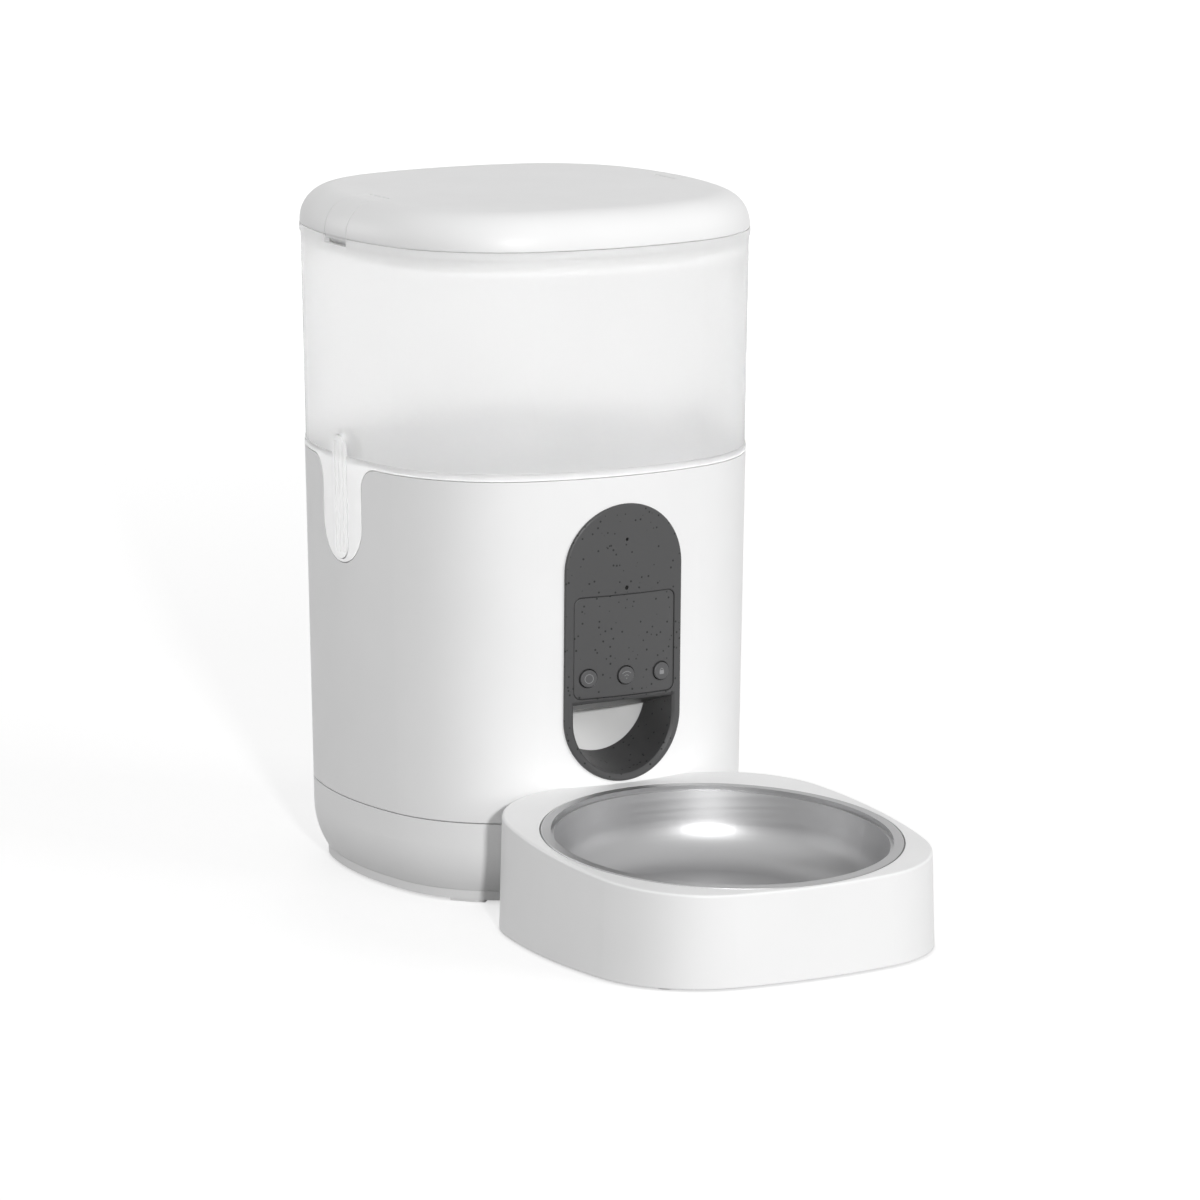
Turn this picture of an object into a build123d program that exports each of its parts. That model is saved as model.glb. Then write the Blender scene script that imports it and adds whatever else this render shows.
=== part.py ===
from build123d import *
import math
import os

os.makedirs("parts", exist_ok=True)

# All sizes in millimetres. Front is -Y, up is +Z.
# Body form
body_width = 190.0        # widest section, at the lid seam
side_radius = 170.0       # bulge of each side of the rounded square
corner_radius = 67.0
wall_slope = 0.017        # the walls lean outward on the way up
wall = 2.4
seam_gap = 0.45
touch = 0.1               # gap between pieces that are fixed to each other
fit = 0.08                # running fit of a shaft

# Base and cells
base_height = 37.3        # floor to the seam under the body
base_low = 5.5
base_floor = 2.5
base_blend = 38.0         # radius of the base's inward curve
base_blend_top = 26.0
spigot_rise = 7.7
spigot_gap = 0.35
foot_ring_low = 1.2
foot_ring_outer = -6.0
foot_ring_inner = -11.0
foot_length = 16.0
cell_radius = 16.6
cell_length = 61.0
cell_pitch = 35.0
cell_front = -16.0
cell_rise = 2.4
cell_room = 1.0
box_wall = 1.8
box_side = 2.4
speaker_x = -38.0
speaker_y = -40.0
speaker_radius = 17.0

# Gear train, from the motor under it up to the chamber
motor_room = 1.1
motor_radius = 12.2
motor_length = 16.4
gearbox_height = 30.0
case_wall = 2.0
gear_thick = 5.0
output_tip = 20.0
idler_tip = 14.0
idler_small_tip = 7.0
pinion_tip = 4.0
gear_gap = 0.3
gearbox_post = 12.0

# Deck, chamber, rotor, chute
chamber_radius = 50.0
chamber_wall = 2.0
chamber_depth = 32.0
deck_thick = 3.0
deck_gap = 0.5
deck_room = 5.0           # between the deck and the tongues above it
drop_half = 20.0
drop_back = -16.0
chute_wall = 1.8
sensor_run = 12.0
sensor_size = 8.0
sensor_thick = 5.6
hub_radius = 14.0
blade_tip_gap = 1.6
blade_floor_gap = 1.2
blade_height = 21.8
blade_thick = 2.2
blade_count = 6
shaft_radius = 4.0

# Side tongue of the tank and its catch
tongue_half = 18.3
tongue_drop = 45.2        # from the tank's lower lip to the tongue's lowest point
tongue_flare = 10.7
catch_width = 12.6
catch_margin = 1.6
catch_rise = 11.6
catch_gap = 0.4
catch_proud = 0.5
catch_back = -1.4
catch_groove = 1.0
catch_groove_pitch = 3.7
catch_groove_depth = 0.5
catch_groove_end = 2.6
channel_floor = -4.6
channel_back = -6.4
channel_side = 2.0
channel_end = 0.8

# Tank
tank_height = 100.2
tank_wall = 2.2
tank_inset = 0.5          # the wall stands behind its rim band and lower lip
rim_band = 3.4
lip_band = 3.1
funnel_top = -3.2
spout_gap = 1.8           # between the spout's corners and the chamber
spout_corner = 13.0
spout_corner_reach = 7.2   # the corners reach further out than the sides
spout_side = 116.0
spout_dip = 2.0
throat_rise = 6.0

# Lid
lid_height = 16.4
lid_edge = 15.0           # radius of the rounded top edge
lid_gap = 0.25
lid_inset = 0.2
lid_wall = 2.4
plug_outer = -6.0
plug_inner = -8.0
plug_drop = 9.4
seal_height = 3.0
seal_gap = 0.5
latch_half = 10.0
latch_reach = 22.0         # from the lid's side to the latch's inner edge
latch_gap = 0.45
latch_slit = 1.0
latch_tail_drop = 1.4
latch_sill = 1.0
latch_notch = 10.6
cap_radius = 30.0
cap_thick = 3.0
cap_drop = 7.4
cap_gap = 0.4
cap_wall = 1.8

# Front panel and outlet
outlet_fall = 27.2        # from the chamber's floor to the middle of the outlet's round lower half
outlet_radius = 24.8
outlet_rise = 9.2
outlet_lip = 1.2
panel_frame = 4.4         # panel beside the outlet
panel_foot = 2.8
panel_head = 12.5         # body above the panel
panel_proud = 1.4
panel_edge = 0.9
plug_step = 2.2
plug_back = -1.6
plug_room = 0.5
tunnel_wall = 1.5
tunnel_room = 0.4
tunnel_depth = 29.0
tunnel_rise = 0.23        # the floor rises towards the inside
tunnel_drop = 0.33        # the ceiling falls towards the inside
plate_side = 4.2
plate_rise = 1.9
plate_height = 45.2
plate_corner = 3.4
plate_gap = 0.3
plate_top = 1.1
plate_floor = 0.4
button_radius = 3.9
button_gap = 0.35
button_pitch = 18.3
button_rise = 9.1
button_flange = 5.6
button_proud = 0.9
button_travel = 1.0
button_room = 0.5
switch_height = 3.0
board_thick = 1.6
panel_board_depth = 12.6
microphone_drop = 15.9
microphone_radius = 0.7
guide_rise = 3.1
guide_radius = 0.8

# Rear board and power socket
main_board_depth = 17.3
board_post_x = 28.0
board_post_pitch = 46.0
socket_width = 9.0
socket_height = 3.4
socket_rise = 32.7        # above the base seam
socket_sink = 0.9
socket_room = 1.1

# Tray and bowl
bowl_radius = 78.2
bowl_gap = 0.5
bowl_rim = 4.4
bowl_sheet = 0.9
bowl_depth = 32.0
bowl_step = 1.8
bowl_front = 3.2          # tray in front of the bowl
bowl_rear = 4.4           # between the bowl and the body's widest front
tray_side = 4.5           # tray beside the bowl
tray_tuck = 9.8           # the tray's rear reaches round the body
tray_side_radius = 240.0
tray_corner_radius = 49.0
tray_draft = 1.3
tray_low = 1.0
tray_below_panel = 1.0
tray_tilt = 4.1           # degrees, falling to the front
tray_wall = 2.2
tray_plate = 2.6
tray_gap = 0.7
flange_high = 3.0
flange_width = 9.0
lug_x = 28.0
lug_width = 12.0
lug_low = 12.0
lug_height = 6.0
lug_length = 11.4
lug_gap = 0.5

# Plan
body_half = body_width / 2
tray_reach = 2 * bowl_radius + bowl_front + bowl_rear
overall_depth = body_width + tray_reach
body_y = overall_depth / 2 - body_half
tray_half_x = bowl_radius + tray_side
tray_half_y = (tray_reach + tray_tuck) / 2 - tray_draft
tray_y = tray_half_y + tray_draft - overall_depth / 2
bowl_y = bowl_radius + bowl_front - overall_depth / 2

# Heights, from the floor up
base_seam_z = base_height
base_inside = base_low + base_floor
cell_z = base_inside + cell_rise + cell_radius
box_top = cell_z + cell_radius + cell_room
motor_low = box_top + box_wall + motor_room
gearbox_low = motor_low + motor_length + touch
gearbox_high = gearbox_low + gearbox_height
chamber_floor = gearbox_high + gearbox_post + chamber_wall
deck_top = chamber_floor + chamber_depth
tongue_low = deck_top + deck_room
tank_seam_z = tongue_low + tongue_drop
lid_seam_z = tank_seam_z + tank_height
total_height = lid_seam_z + lid_height
lid_low = lid_seam_z + lid_gap
plug_low = lid_seam_z - plug_drop

# Panel, from the outlet up
outlet_z = chamber_floor - outlet_fall
outlet_ceiling = outlet_z + outlet_rise
panel_width = 2 * (outlet_radius + panel_frame)
panel_low = outlet_z - outlet_radius - panel_foot
panel_high = tank_seam_z - panel_head
plug_width = panel_width - 2 * plug_step
plate_half = panel_width / 2 - plate_side
plate_low = outlet_ceiling + plate_rise
plate_high = plate_low + plate_height
button_z = plate_low + button_rise
microphone_z = panel_high - microphone_drop
guide_z = plate_high + guide_rise
board_front = body_half - panel_board_depth
button_back = board_front + switch_height + button_travel + button_room
tunnel_end = tunnel_depth - body_half

# The tray's sloping top ends just under the panel
tray_top = panel_low - tray_below_panel - math.tan(math.radians(tray_tilt)) * (body_y - body_half - tray_y)

# Views that the outlines are drawn in
front = Plane(origin=(0, body_y, 0), x_dir=(1, 0, 0), z_dir=(0, -1, 0))
side = Plane(origin=(0, body_y, 0), x_dir=(0, 1, 0), z_dir=(1, 0, 0))


def level(z):
    return Plane(origin=(0, body_y, z))


def corner_centre(half_x, half_y, side_r, corner_r):
    """Middle of the corner arc that runs into both side arcs."""
    to_x = side_r - half_x
    to_y = side_r - half_y
    span = math.hypot(to_x, to_y)
    reach = math.sqrt((side_r - corner_r) ** 2 - (span / 2) ** 2)
    return reach * to_y / span - to_x / 2, reach * to_x / span - to_y / 2


def rounded_square(plane, half_x, half_y, side_r, corner_r, grow):
    """Four side arcs and four corner arcs that run into each other, moved outward by grow."""
    to_x = side_r - half_x
    to_y = side_r - half_y
    cx, cy = corner_centre(half_x, half_y, side_r, corner_r)
    turn_x = math.degrees(math.atan2(cy, cx + to_x))
    turn_y = math.degrees(math.atan2(cx, cy + to_y))
    corner_turn = 90 - turn_x - turn_y
    with BuildSketch(plane) as outline:
        with BuildLine():
            CenterArc((-to_x, 0), side_r + grow, -turn_x, 2 * turn_x)
            CenterArc((cx, cy), corner_r + grow, turn_x, corner_turn)
            CenterArc((0, -to_y), side_r + grow, 90 - turn_y, 2 * turn_y)
            CenterArc((-cx, cy), corner_r + grow, 90 + turn_y, corner_turn)
            CenterArc((to_x, 0), side_r + grow, 180 - turn_x, 2 * turn_x)
            CenterArc((-cx, -cy), corner_r + grow, 180 + turn_x, corner_turn)
            CenterArc((0, to_y), side_r + grow, 270 - turn_y, 2 * turn_y)
            CenterArc((cx, -cy), corner_r + grow, 270 + turn_y, corner_turn)
        make_face()
    return outline.sketch


def section(z, grow=0.0):
    """Outline of the leaning body at height z, moved outward by grow."""
    lean = wall_slope * (lid_seam_z - z)
    return rounded_square(level(z), body_half, body_half, side_radius, corner_radius, grow - lean)


def stack(z_low, z_high, grow=0.0):
    return [section(z_low, grow), section(z_high, grow)]


def half_width(z):
    return body_half - wall_slope * (lid_seam_z - z)


def curved_patch(outline, z_low, z_high, inner, outer):
    """Piece of a wall between two offsets of the body, cut to an outline seen from one side."""
    with BuildPart() as patch:
        loft(stack(z_low, z_high, outer), ruled=True)
        loft(stack(z_low - 1, z_high + 1, inner), ruled=True, mode=Mode.SUBTRACT)
        extrude(outline, amount=body_width, mode=Mode.INTERSECT)
    return patch.part


def front_section(z, grow):
    """Body's front side at height z, moved outward by grow, with a straight back inside the body."""
    radius = side_radius + grow - wall_slope * (lid_seam_z - z)
    turn = math.degrees(math.asin((panel_width / 2 + panel_frame) / radius))
    with BuildSketch(level(z)) as outline:
        with BuildLine():
            curve = CenterArc((0, side_radius - body_half), radius, 270 - turn, 2 * turn)
            Polyline(curve @ 1, curve @ 1 + Vector(0, tunnel_depth), curve @ 0 + Vector(0, tunnel_depth), curve @ 0)
        make_face()
    return outline.sketch


def front_patch(outline, z_low, z_high, inner, outer):
    """Piece between two offsets of the body's front side, cut to an outline seen from the front."""
    with BuildPart() as patch:
        loft([front_section(z_low, outer), front_section(z_high, outer)], ruled=True)
        loft([front_section(z_low - 1, inner), front_section(z_high + 1, inner)], ruled=True, mode=Mode.SUBTRACT)
        extrude(outline, amount=body_width, mode=Mode.INTERSECT)
    return patch.part


def upright_slot(plane, width, z_low, z_high, across=0.0):
    with BuildSketch(plane) as slot:
        with Locations((across, (z_low + z_high) / 2)):
            SlotOverall(z_high - z_low, width, rotation=90)
    return slot.sketch


# Body shell: tapered wall with the panel opening, a cut-out for each tongue and the socket hole
socket_z = base_seam_z + socket_rise
body_low = base_seam_z + seam_gap / 2
body_high = tank_seam_z - seam_gap
ledge = 5.0
ledge_thick = 3.0
board_back = body_half - main_board_depth
board_post_low = socket_z - 6.0
board_post_high = board_post_low + board_post_pitch
board_post_reach = main_board_depth - 7.3


def tongue_outline(gap):
    """U of the tongue on the right side, widened by gap, with flared corners under the seam."""
    half = tongue_half + gap
    flare_y = tongue_half + tongue_flare
    flare_z = tank_seam_z - tongue_flare
    flare_r = tongue_flare - gap
    bottom_z = tongue_low + tongue_half
    diag = flare_r * math.sqrt(0.5)
    top = tank_seam_z + 2
    with BuildSketch(side) as outline:
        with BuildLine():
            Line((-flare_y, top), (-flare_y, flare_z + flare_r))
            ThreePointArc((-flare_y, flare_z + flare_r), (-flare_y + diag, flare_z + diag), (-half, flare_z))
            Line((-half, flare_z), (-half, bottom_z))
            ThreePointArc((-half, bottom_z), (0, bottom_z - half), (half, bottom_z))
            Line((half, bottom_z), (half, flare_z))
            ThreePointArc((half, flare_z), (flare_y - diag, flare_z + diag), (flare_y, flare_z + flare_r))
            Line((flare_y, flare_z + flare_r), (flare_y, top))
            Line((flare_y, top), (-flare_y, top))
        make_face()
    return outline.sketch


with BuildPart() as body_shell:
    loft(stack(body_low, body_high), ruled=True)
    loft(stack(body_low - 1, body_high + 1, -wall), ruled=True, mode=Mode.SUBTRACT)
    ledge_top = deck_top - deck_thick - touch
    loft(stack(ledge_top - ledge_thick, ledge_top, -wall / 2), ruled=True)
    loft(stack(ledge_top - ledge_thick - 1, ledge_top + 1, -wall - ledge), ruled=True, mode=Mode.SUBTRACT)
    opening = plug_step - plug_room
    extrude(upright_slot(front, panel_width - 2 * opening, panel_low + opening, panel_high - opening),
            amount=body_width, mode=Mode.SUBTRACT)
    with BuildSketch(front):
        with Locations((0, outlet_z + tunnel_room)):
            Circle(outlet_radius + tunnel_wall + tunnel_room)
    extrude(amount=body_width, mode=Mode.SUBTRACT)
    tongue_cut = tongue_outline(seam_gap)
    extrude(tongue_cut, amount=body_width, both=True, mode=Mode.SUBTRACT)
    with BuildSketch(front):
        with Locations((0, socket_z)):
            SlotOverall(socket_width + 2 * socket_room, socket_height + 2 * socket_room)
    extrude(amount=-body_width, mode=Mode.SUBTRACT)
    with BuildSketch(front.offset(-board_back)):
        with GridLocations(2 * board_post_x, board_post_high - board_post_low, 2, 2):
            with Locations((0, (board_post_high + board_post_low) / 2)):
                Circle(2.4)
    extrude(amount=board_post_reach, dir=(0, 1, 0))
body_shell.part.label = "body_shell"
export_step(body_shell.part, "parts/body_shell.step")


# Base shell: curved lower edge, floor with the cell opening, spigot into the body, tray slots
spigot_high = base_seam_z + spigot_rise
cell_back = cell_front + cell_length
box_front = cell_front - 2
box_back = cell_back + 2
cover_half = cell_pitch + cell_radius + box_side

with BuildPart() as base_void:
    loft([section(base_inside, -9), section(base_blend_top, -wall - 2.5), section(spigot_high + 15, -wall - 2.5)], ruled=True)

with BuildPart() as base_shell:
    loft([section(base_blend_top - base_blend), section(base_seam_z - seam_gap / 2)], ruled=True)
    fillet(base_shell.faces().sort_by(Axis.Z)[0].edges(), base_blend)
    with BuildSketch(level(base_low)):
        Rectangle(2 * body_width, 2 * body_width)
    extrude(amount=-body_width, mode=Mode.SUBTRACT)
    loft(stack(base_seam_z - 3, spigot_high, -wall - spigot_gap), ruled=True)
    add(base_void.part, mode=Mode.SUBTRACT)
    with BuildSketch(level(base_low + 0.5)):
        with Locations((0, (box_front + box_back) / 2)):
            Rectangle(2 * (cover_half + box_wall), box_back - box_front + 2 * box_wall)
    extrude(amount=box_top + box_wall - base_low - 0.5)
    with BuildSketch(level(base_low - 1)):
        with Locations((0, (box_front + box_back) / 2)):
            RectangleRounded(2 * cover_half, box_back - box_front, 4)
    extrude(amount=box_top - base_low + 1, mode=Mode.SUBTRACT)
    with BuildSketch(front.offset(body_half - 20)):
        with GridLocations(2 * lug_x, 1, 2, 1):
            with Locations((0, lug_low + lug_height / 2)):
                Rectangle(lug_width + 2 * lug_gap, lug_height + 2 * lug_gap)
    extrude(amount=30, mode=Mode.SUBTRACT)
    with BuildSketch(level(base_low - 1)):
        with Locations((speaker_x, speaker_y)):
            with PolarLocations(speaker_radius - 8, 8):
                Circle(1.4)
            Circle(1.4)
    extrude(amount=base_floor + 2, mode=Mode.SUBTRACT)
base_shell.part.label = "base_shell"
export_step(base_shell.part, "parts/base_shell.step")

# Foot ring under the base and its four rubber feet
with BuildPart() as foot_ring:
    loft(stack(foot_ring_low, base_low - touch, foot_ring_outer), ruled=True)
    loft(stack(foot_ring_low - 1, base_low + 1, foot_ring_inner), ruled=True, mode=Mode.SUBTRACT)
foot_ring.part.label = "foot_ring"
export_step(foot_ring.part, "parts/foot_ring.step")

foot_places = {"front_left": 135, "front_right": 225, "rear_right": 315, "rear_left": 45}
for place, angle in foot_places.items():
    with BuildPart() as rubber_foot:
        loft(stack(0, foot_ring_low - touch, foot_ring_outer - 0.6), ruled=True)
        loft(stack(-1, foot_ring_low + 1, foot_ring_inner + 0.6), ruled=True, mode=Mode.SUBTRACT)
        with BuildSketch(level(-1).rotated((0, 0, angle))):
            with Locations((0, body_half)):
                Rectangle(foot_length, body_width)
        extrude(amount=5, mode=Mode.INTERSECT)
    rubber_foot.part.label = "rubber_foot_" + place
    export_step(rubber_foot.part, "parts/rubber_foot_" + place + ".step")

# Battery cover and the three round cells
with BuildPart() as battery_cover:
    with BuildSketch(level(base_low)):
        with Locations((0, (box_front + box_back) / 2)):
            RectangleRounded(2 * (cover_half - seam_gap), box_back - box_front - 2 * seam_gap, 3.6)
    extrude(amount=base_floor)
    with BuildSketch(level(base_low)):
        with Locations((0, box_front + 8)):
            SlotOverall(26, 8)
    extrude(amount=1.2, mode=Mode.SUBTRACT)
battery_cover.part.label = "battery_cover"
export_step(battery_cover.part, "parts/battery_cover.step")

for number in range(3):
    with BuildPart() as cell:
        with BuildSketch(front.offset(-cell_back + 1.5)):
            with Locations(((number - 1) * cell_pitch, cell_z)):
                Circle(cell_radius)
        extrude(amount=cell_length - 1.5)
        with BuildSketch(front.offset(-cell_back)):
            with Locations(((number - 1) * cell_pitch, cell_z)):
                Circle(4.6)
        extrude(amount=2)
    cell.part.label = "cell_" + str(number + 1)
    export_step(cell.part, "parts/cell_" + str(number + 1) + ".step")

# Deck with the round metering chamber and its drop hole
drop_front = 3.0 - chamber_radius
with BuildPart() as deck:
    loft(stack(deck_top - deck_thick, deck_top, -wall - deck_gap), ruled=True)
    with BuildSketch(level(chamber_floor - chamber_wall)):
        Circle(chamber_radius + chamber_wall)
    extrude(amount=deck_top - chamber_floor)
    with BuildSketch(level(chamber_floor)):
        Circle(chamber_radius)
    extrude(amount=deck_top, mode=Mode.SUBTRACT)
    with BuildSketch(level(chamber_floor - chamber_wall - 1)):
        with Locations((0, (drop_front + drop_back) / 2)):
            RectangleRounded(2 * drop_half, drop_back - drop_front, 6)
        Circle(-drop_front, mode=Mode.INTERSECT)
        Circle(shaft_radius + 1)
    extrude(amount=chamber_wall + 2, mode=Mode.SUBTRACT)
    with BuildSketch(front.offset(board_front - board_thick - 1.8)):
        with Locations((0, deck_top)):
            Rectangle(2 * plate_half + 4, 20)
    extrude(amount=body_half, mode=Mode.SUBTRACT)
deck.part.label = "deck"
export_step(deck.part, "parts/deck.step")

# Chute: sloping round trough under the drop hole with a steeper ceiling
outlet_front = half_width(outlet_z) + panel_proud
chute_radius = outlet_radius + 0.6
chute_top = chamber_floor - chamber_wall - touch
chute_mouth = tunnel_end + tunnel_room
chute_z = outlet_z + tunnel_rise * (outlet_front + tunnel_end) + tunnel_room
ceiling_z = outlet_ceiling - tunnel_drop * (outlet_front + tunnel_end) + tunnel_room
chute_run = drop_back - chute_mouth
chute_slope = (chute_top - chute_z + chute_radius) / (chute_run - 1.7)
ceiling_slope = (chute_top - ceiling_z) / (drop_front + 0.6 - chute_mouth)


def chute_core(radius, ceiling, start, top):
    """Oblique cylinder under a sloping ceiling, from y = start up to z = top."""
    fall = chute_slope * (start - chute_mouth)
    edge_z = ceiling + ceiling_slope * (start - chute_mouth)
    meet = start + (top - edge_z) / ceiling_slope
    low = chute_z - 3 * radius
    back = chute_mouth + 2 * chute_run
    with BuildPart() as core:
        with BuildSketch(front.offset(-start)):
            with Locations((0, chute_z + fall)):
                Circle(radius)
        extrude(amount=1.2 * chute_run * math.hypot(1, chute_slope), dir=(0, 1, chute_slope))
        with BuildSketch(side):
            Polygon((start, low), (back, low), (back, top), (meet, top), (start, edge_z), align=None)
        extrude(amount=2 * radius, both=True, mode=Mode.INTERSECT)
    return core.part


chute_outside = chute_core(chute_radius + chute_wall, ceiling_z + 2 * chute_wall, chute_mouth, chute_top)
chute_inside = chute_core(chute_radius, ceiling_z, chute_mouth - 1, chute_top + 1)
with BuildPart() as chute:
    add(chute_outside)
    add(chute_inside, mode=Mode.SUBTRACT)
chute.part.label = "chute"
export_step(chute.part, "parts/chute.step")

# Food sensor pair beside the chute
for place, sign in (("left", -1), ("right", 1)):
    with BuildPart() as food_sensor:
        with BuildSketch(level(chute_z + chute_slope * sensor_run - sensor_size)):
            with Locations((sign * (chute_radius + chute_wall + touch + sensor_thick / 2), chute_mouth + sensor_run)):
                Rectangle(sensor_thick, sensor_size)
        extrude(amount=sensor_size)
    food_sensor.part.label = "food_sensor_" + place
    export_step(food_sensor.part, "parts/food_sensor_" + place + ".step")

# Front bezel: curved stadium panel with the plug behind it and the outlet tunnel
bezel_skin = front_patch(upright_slot(front, panel_width, panel_low, panel_high),
                         panel_low - 4, panel_high + 4, touch, panel_proud)
bezel_plug = front_patch(upright_slot(front, plug_width, panel_low + plug_step, panel_high - plug_step),
                         panel_low - 4, panel_high + 4, plug_back, panel_proud / 2)


def tunnel_core(radius, ceiling, start, end):
    """Oblique cylinder of the outlet under its falling ceiling, between two depths."""
    low = outlet_z - 3 * radius
    with BuildPart() as core:
        with BuildSketch(front.offset(start)):
            with Locations((0, outlet_z + tunnel_rise * (outlet_front - start))):
                Circle(radius)
                with Locations((0, radius / 2)):
                    Rectangle(2 * radius, radius)
        extrude(amount=(start - end) * math.hypot(1, tunnel_rise), dir=(0, 1, tunnel_rise))
        with BuildSketch(side):
            Polygon((-start, low), (-end, low), (-end, ceiling - tunnel_drop * (outlet_front - end)),
                    (-start, ceiling - tunnel_drop * (outlet_front - start)), align=None)
        extrude(amount=2 * radius, both=True, mode=Mode.INTERSECT)
    return core.part


tunnel_outside = tunnel_core(outlet_radius + tunnel_wall, outlet_ceiling + tunnel_wall, body_half + 2, -tunnel_end)
tunnel_inside = tunnel_core(outlet_radius, outlet_ceiling, body_half + 3, -tunnel_end - 1)


def plate_outline(grow):
    with BuildSketch(front) as outline:
        with Locations((0, (plate_low + plate_high) / 2)):
            RectangleRounded(2 * (plate_half + grow), plate_high - plate_low + 2 * grow, plate_corner + grow)
    return outline.sketch


plate_recess = front_patch(plate_outline(plate_gap), plate_low - 2, plate_high + 2, plate_floor, panel_proud + 2)
post_z = (plate_low + plate_high) / 2 + 1.5
post_places = [(4 - plate_half, post_z), (plate_half - 4, post_z), (-13, microphone_z), (13, microphone_z)]



def front_rim(faces):
    """Edges round the outside of all the faces that look to the front."""
    edges = [edge for face in faces if face.normal_at().Y < -0.85 for edge in face.outer_wire().edges()]
    return [edge for edge in edges if sum(edge.is_same(other) for other in edges) == 1]


with BuildPart() as front_bezel:
    add(tunnel_outside)
    loft(stack(panel_low - 4, panel_high + 4, panel_proud / 2), ruled=True, mode=Mode.INTERSECT)
    add(bezel_skin)
    fillet(front_rim(front_bezel.faces()), panel_edge)
    add(bezel_plug)
    with BuildSketch(front.offset(board_front + touch)):
        with Locations(*post_places):
            Circle(2.2)
    extrude(amount=panel_board_depth - 3.1)
    add(tunnel_inside, mode=Mode.SUBTRACT)
    mouth_y = body_y - body_half + tunnel_depth / 3
    chamfer([edge for edge in front_bezel.edges(Select.LAST) if edge.center().Y < mouth_y], outlet_lip)
    add(plate_recess, mode=Mode.SUBTRACT)
    with BuildSketch(front):
        with Locations((-button_pitch, button_z), (0, button_z), (button_pitch, button_z)):
            Circle(button_radius + button_gap)
        with Locations((0, guide_z)):
            Circle(guide_radius + touch)
        with Locations((0, microphone_z)):
            Circle(microphone_radius)
    extrude(amount=body_width, mode=Mode.SUBTRACT)
front_bezel.part.label = "front_bezel"
export_step(front_bezel.part, "parts/front_bezel.step")

# Button plate with three round holes
plate_skin = front_patch(plate_outline(0), plate_low - 2, plate_high + 2, plate_floor + touch, plate_top)
with BuildPart() as button_plate:
    add(plate_skin)
    with BuildSketch(front):
        with Locations((-button_pitch, button_z), (0, button_z), (button_pitch, button_z)):
            Circle(button_radius + button_gap)
    extrude(amount=body_width, mode=Mode.SUBTRACT)
button_plate.part.label = "button_plate"
export_step(button_plate.part, "parts/button_plate.step")

# Buttons: stem through the plate, flange behind the bezel
button_front = plate_top + button_proud
for place, step in (("left", -1), ("middle", 0), ("right", 1)):
    with BuildPart() as button:
        with BuildSketch(front.offset(button_back)):
            with Locations((step * button_pitch, button_z)):
                Circle(button_radius)
        extrude(amount=12)
        loft(stack(button_z - 12, button_z + 12, button_front), ruled=True, mode=Mode.INTERSECT)
        fillet(button.faces().sort_by(Axis.Y)[0].edges(), 0.4)
        with BuildSketch(front.offset(button_back)):
            with Locations((step * button_pitch, button_z)):
                Circle(button_flange)
        extrude(amount=1.1)
    button.part.label = "button_" + place
    export_step(button.part, "parts/button_" + place + ".step")

# Panel board with its three switches, and the light guide
panel_board_low = button_z - 5.5
panel_board_high = microphone_z + 6.2
with BuildPart() as panel_board:
    with BuildSketch(front.offset(board_front - board_thick)):
        with Locations((0, (panel_board_low + panel_board_high) / 2)):
            RectangleRounded(2 * plate_half - 2, panel_board_high - panel_board_low, 4)
    extrude(amount=board_thick)
    with BuildSketch(front.offset(board_front)):
        with Locations((-button_pitch, button_z), (0, button_z), (button_pitch, button_z)):
            Rectangle(6, 6)
    extrude(amount=switch_height - 1)
    with BuildSketch(front.offset(board_front)):
        with Locations((-button_pitch, button_z), (0, button_z), (button_pitch, button_z)):
            Circle(1.7)
    extrude(amount=switch_height)
panel_board.part.label = "panel_board"
export_step(panel_board.part, "parts/panel_board.step")

with BuildPart() as light_guide:
    with BuildSketch(front.offset(board_front + touch)):
        with Locations((0, guide_z)):
            Circle(guide_radius)
    extrude(amount=half_width(guide_z) + panel_proud - 0.2 - board_front - touch)
light_guide.part.label = "light_guide"
export_step(light_guide.part, "parts/light_guide.step")

# Main board, power socket and loudspeaker
board_mid = (board_post_low + board_post_high) / 2
with BuildPart() as main_board:
    with BuildSketch(front.offset(-board_back + touch)):
        with Locations((0, board_mid)):
            RectangleRounded(2 * board_post_x + 12, board_post_pitch + 12, 3)
    extrude(amount=board_thick)
    with BuildSketch(front.offset(-board_back + touch + board_thick)):
        with Locations((-14, board_mid + 5), (16, board_mid - 3)):
            Rectangle(12, 12)
    extrude(amount=2.2)
main_board.part.label = "main_board"
export_step(main_board.part, "parts/main_board.step")

with BuildPart() as power_socket:
    with BuildSketch(front.offset(-board_back)):
        with Locations((0, socket_z)):
            SlotOverall(socket_width, socket_height)
    extrude(amount=-(half_width(socket_z) - socket_sink - board_back))
    with BuildSketch(front.offset(-half_width(socket_z) + socket_sink)):
        with Locations((0, socket_z)):
            SlotOverall(socket_width - 0.8, socket_height - 0.8)
            RectangleRounded(socket_width - 2.4, 0.8, 0.3, mode=Mode.SUBTRACT)
    extrude(amount=6, mode=Mode.SUBTRACT)
power_socket.part.label = "power_socket"
export_step(power_socket.part, "parts/power_socket.step")

with BuildPart() as loudspeaker:
    with BuildSketch(level(base_inside + touch)):
        with Locations((speaker_x, speaker_y)):
            Circle(speaker_radius)
    extrude(amount=3)
    with BuildSketch(level(base_inside + touch + 3)):
        with Locations((speaker_x, speaker_y)):
            Circle(speaker_radius * 0.6)
    extrude(amount=4)
loudspeaker.part.label = "loudspeaker"
export_step(loudspeaker.part, "parts/loudspeaker.step")

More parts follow.
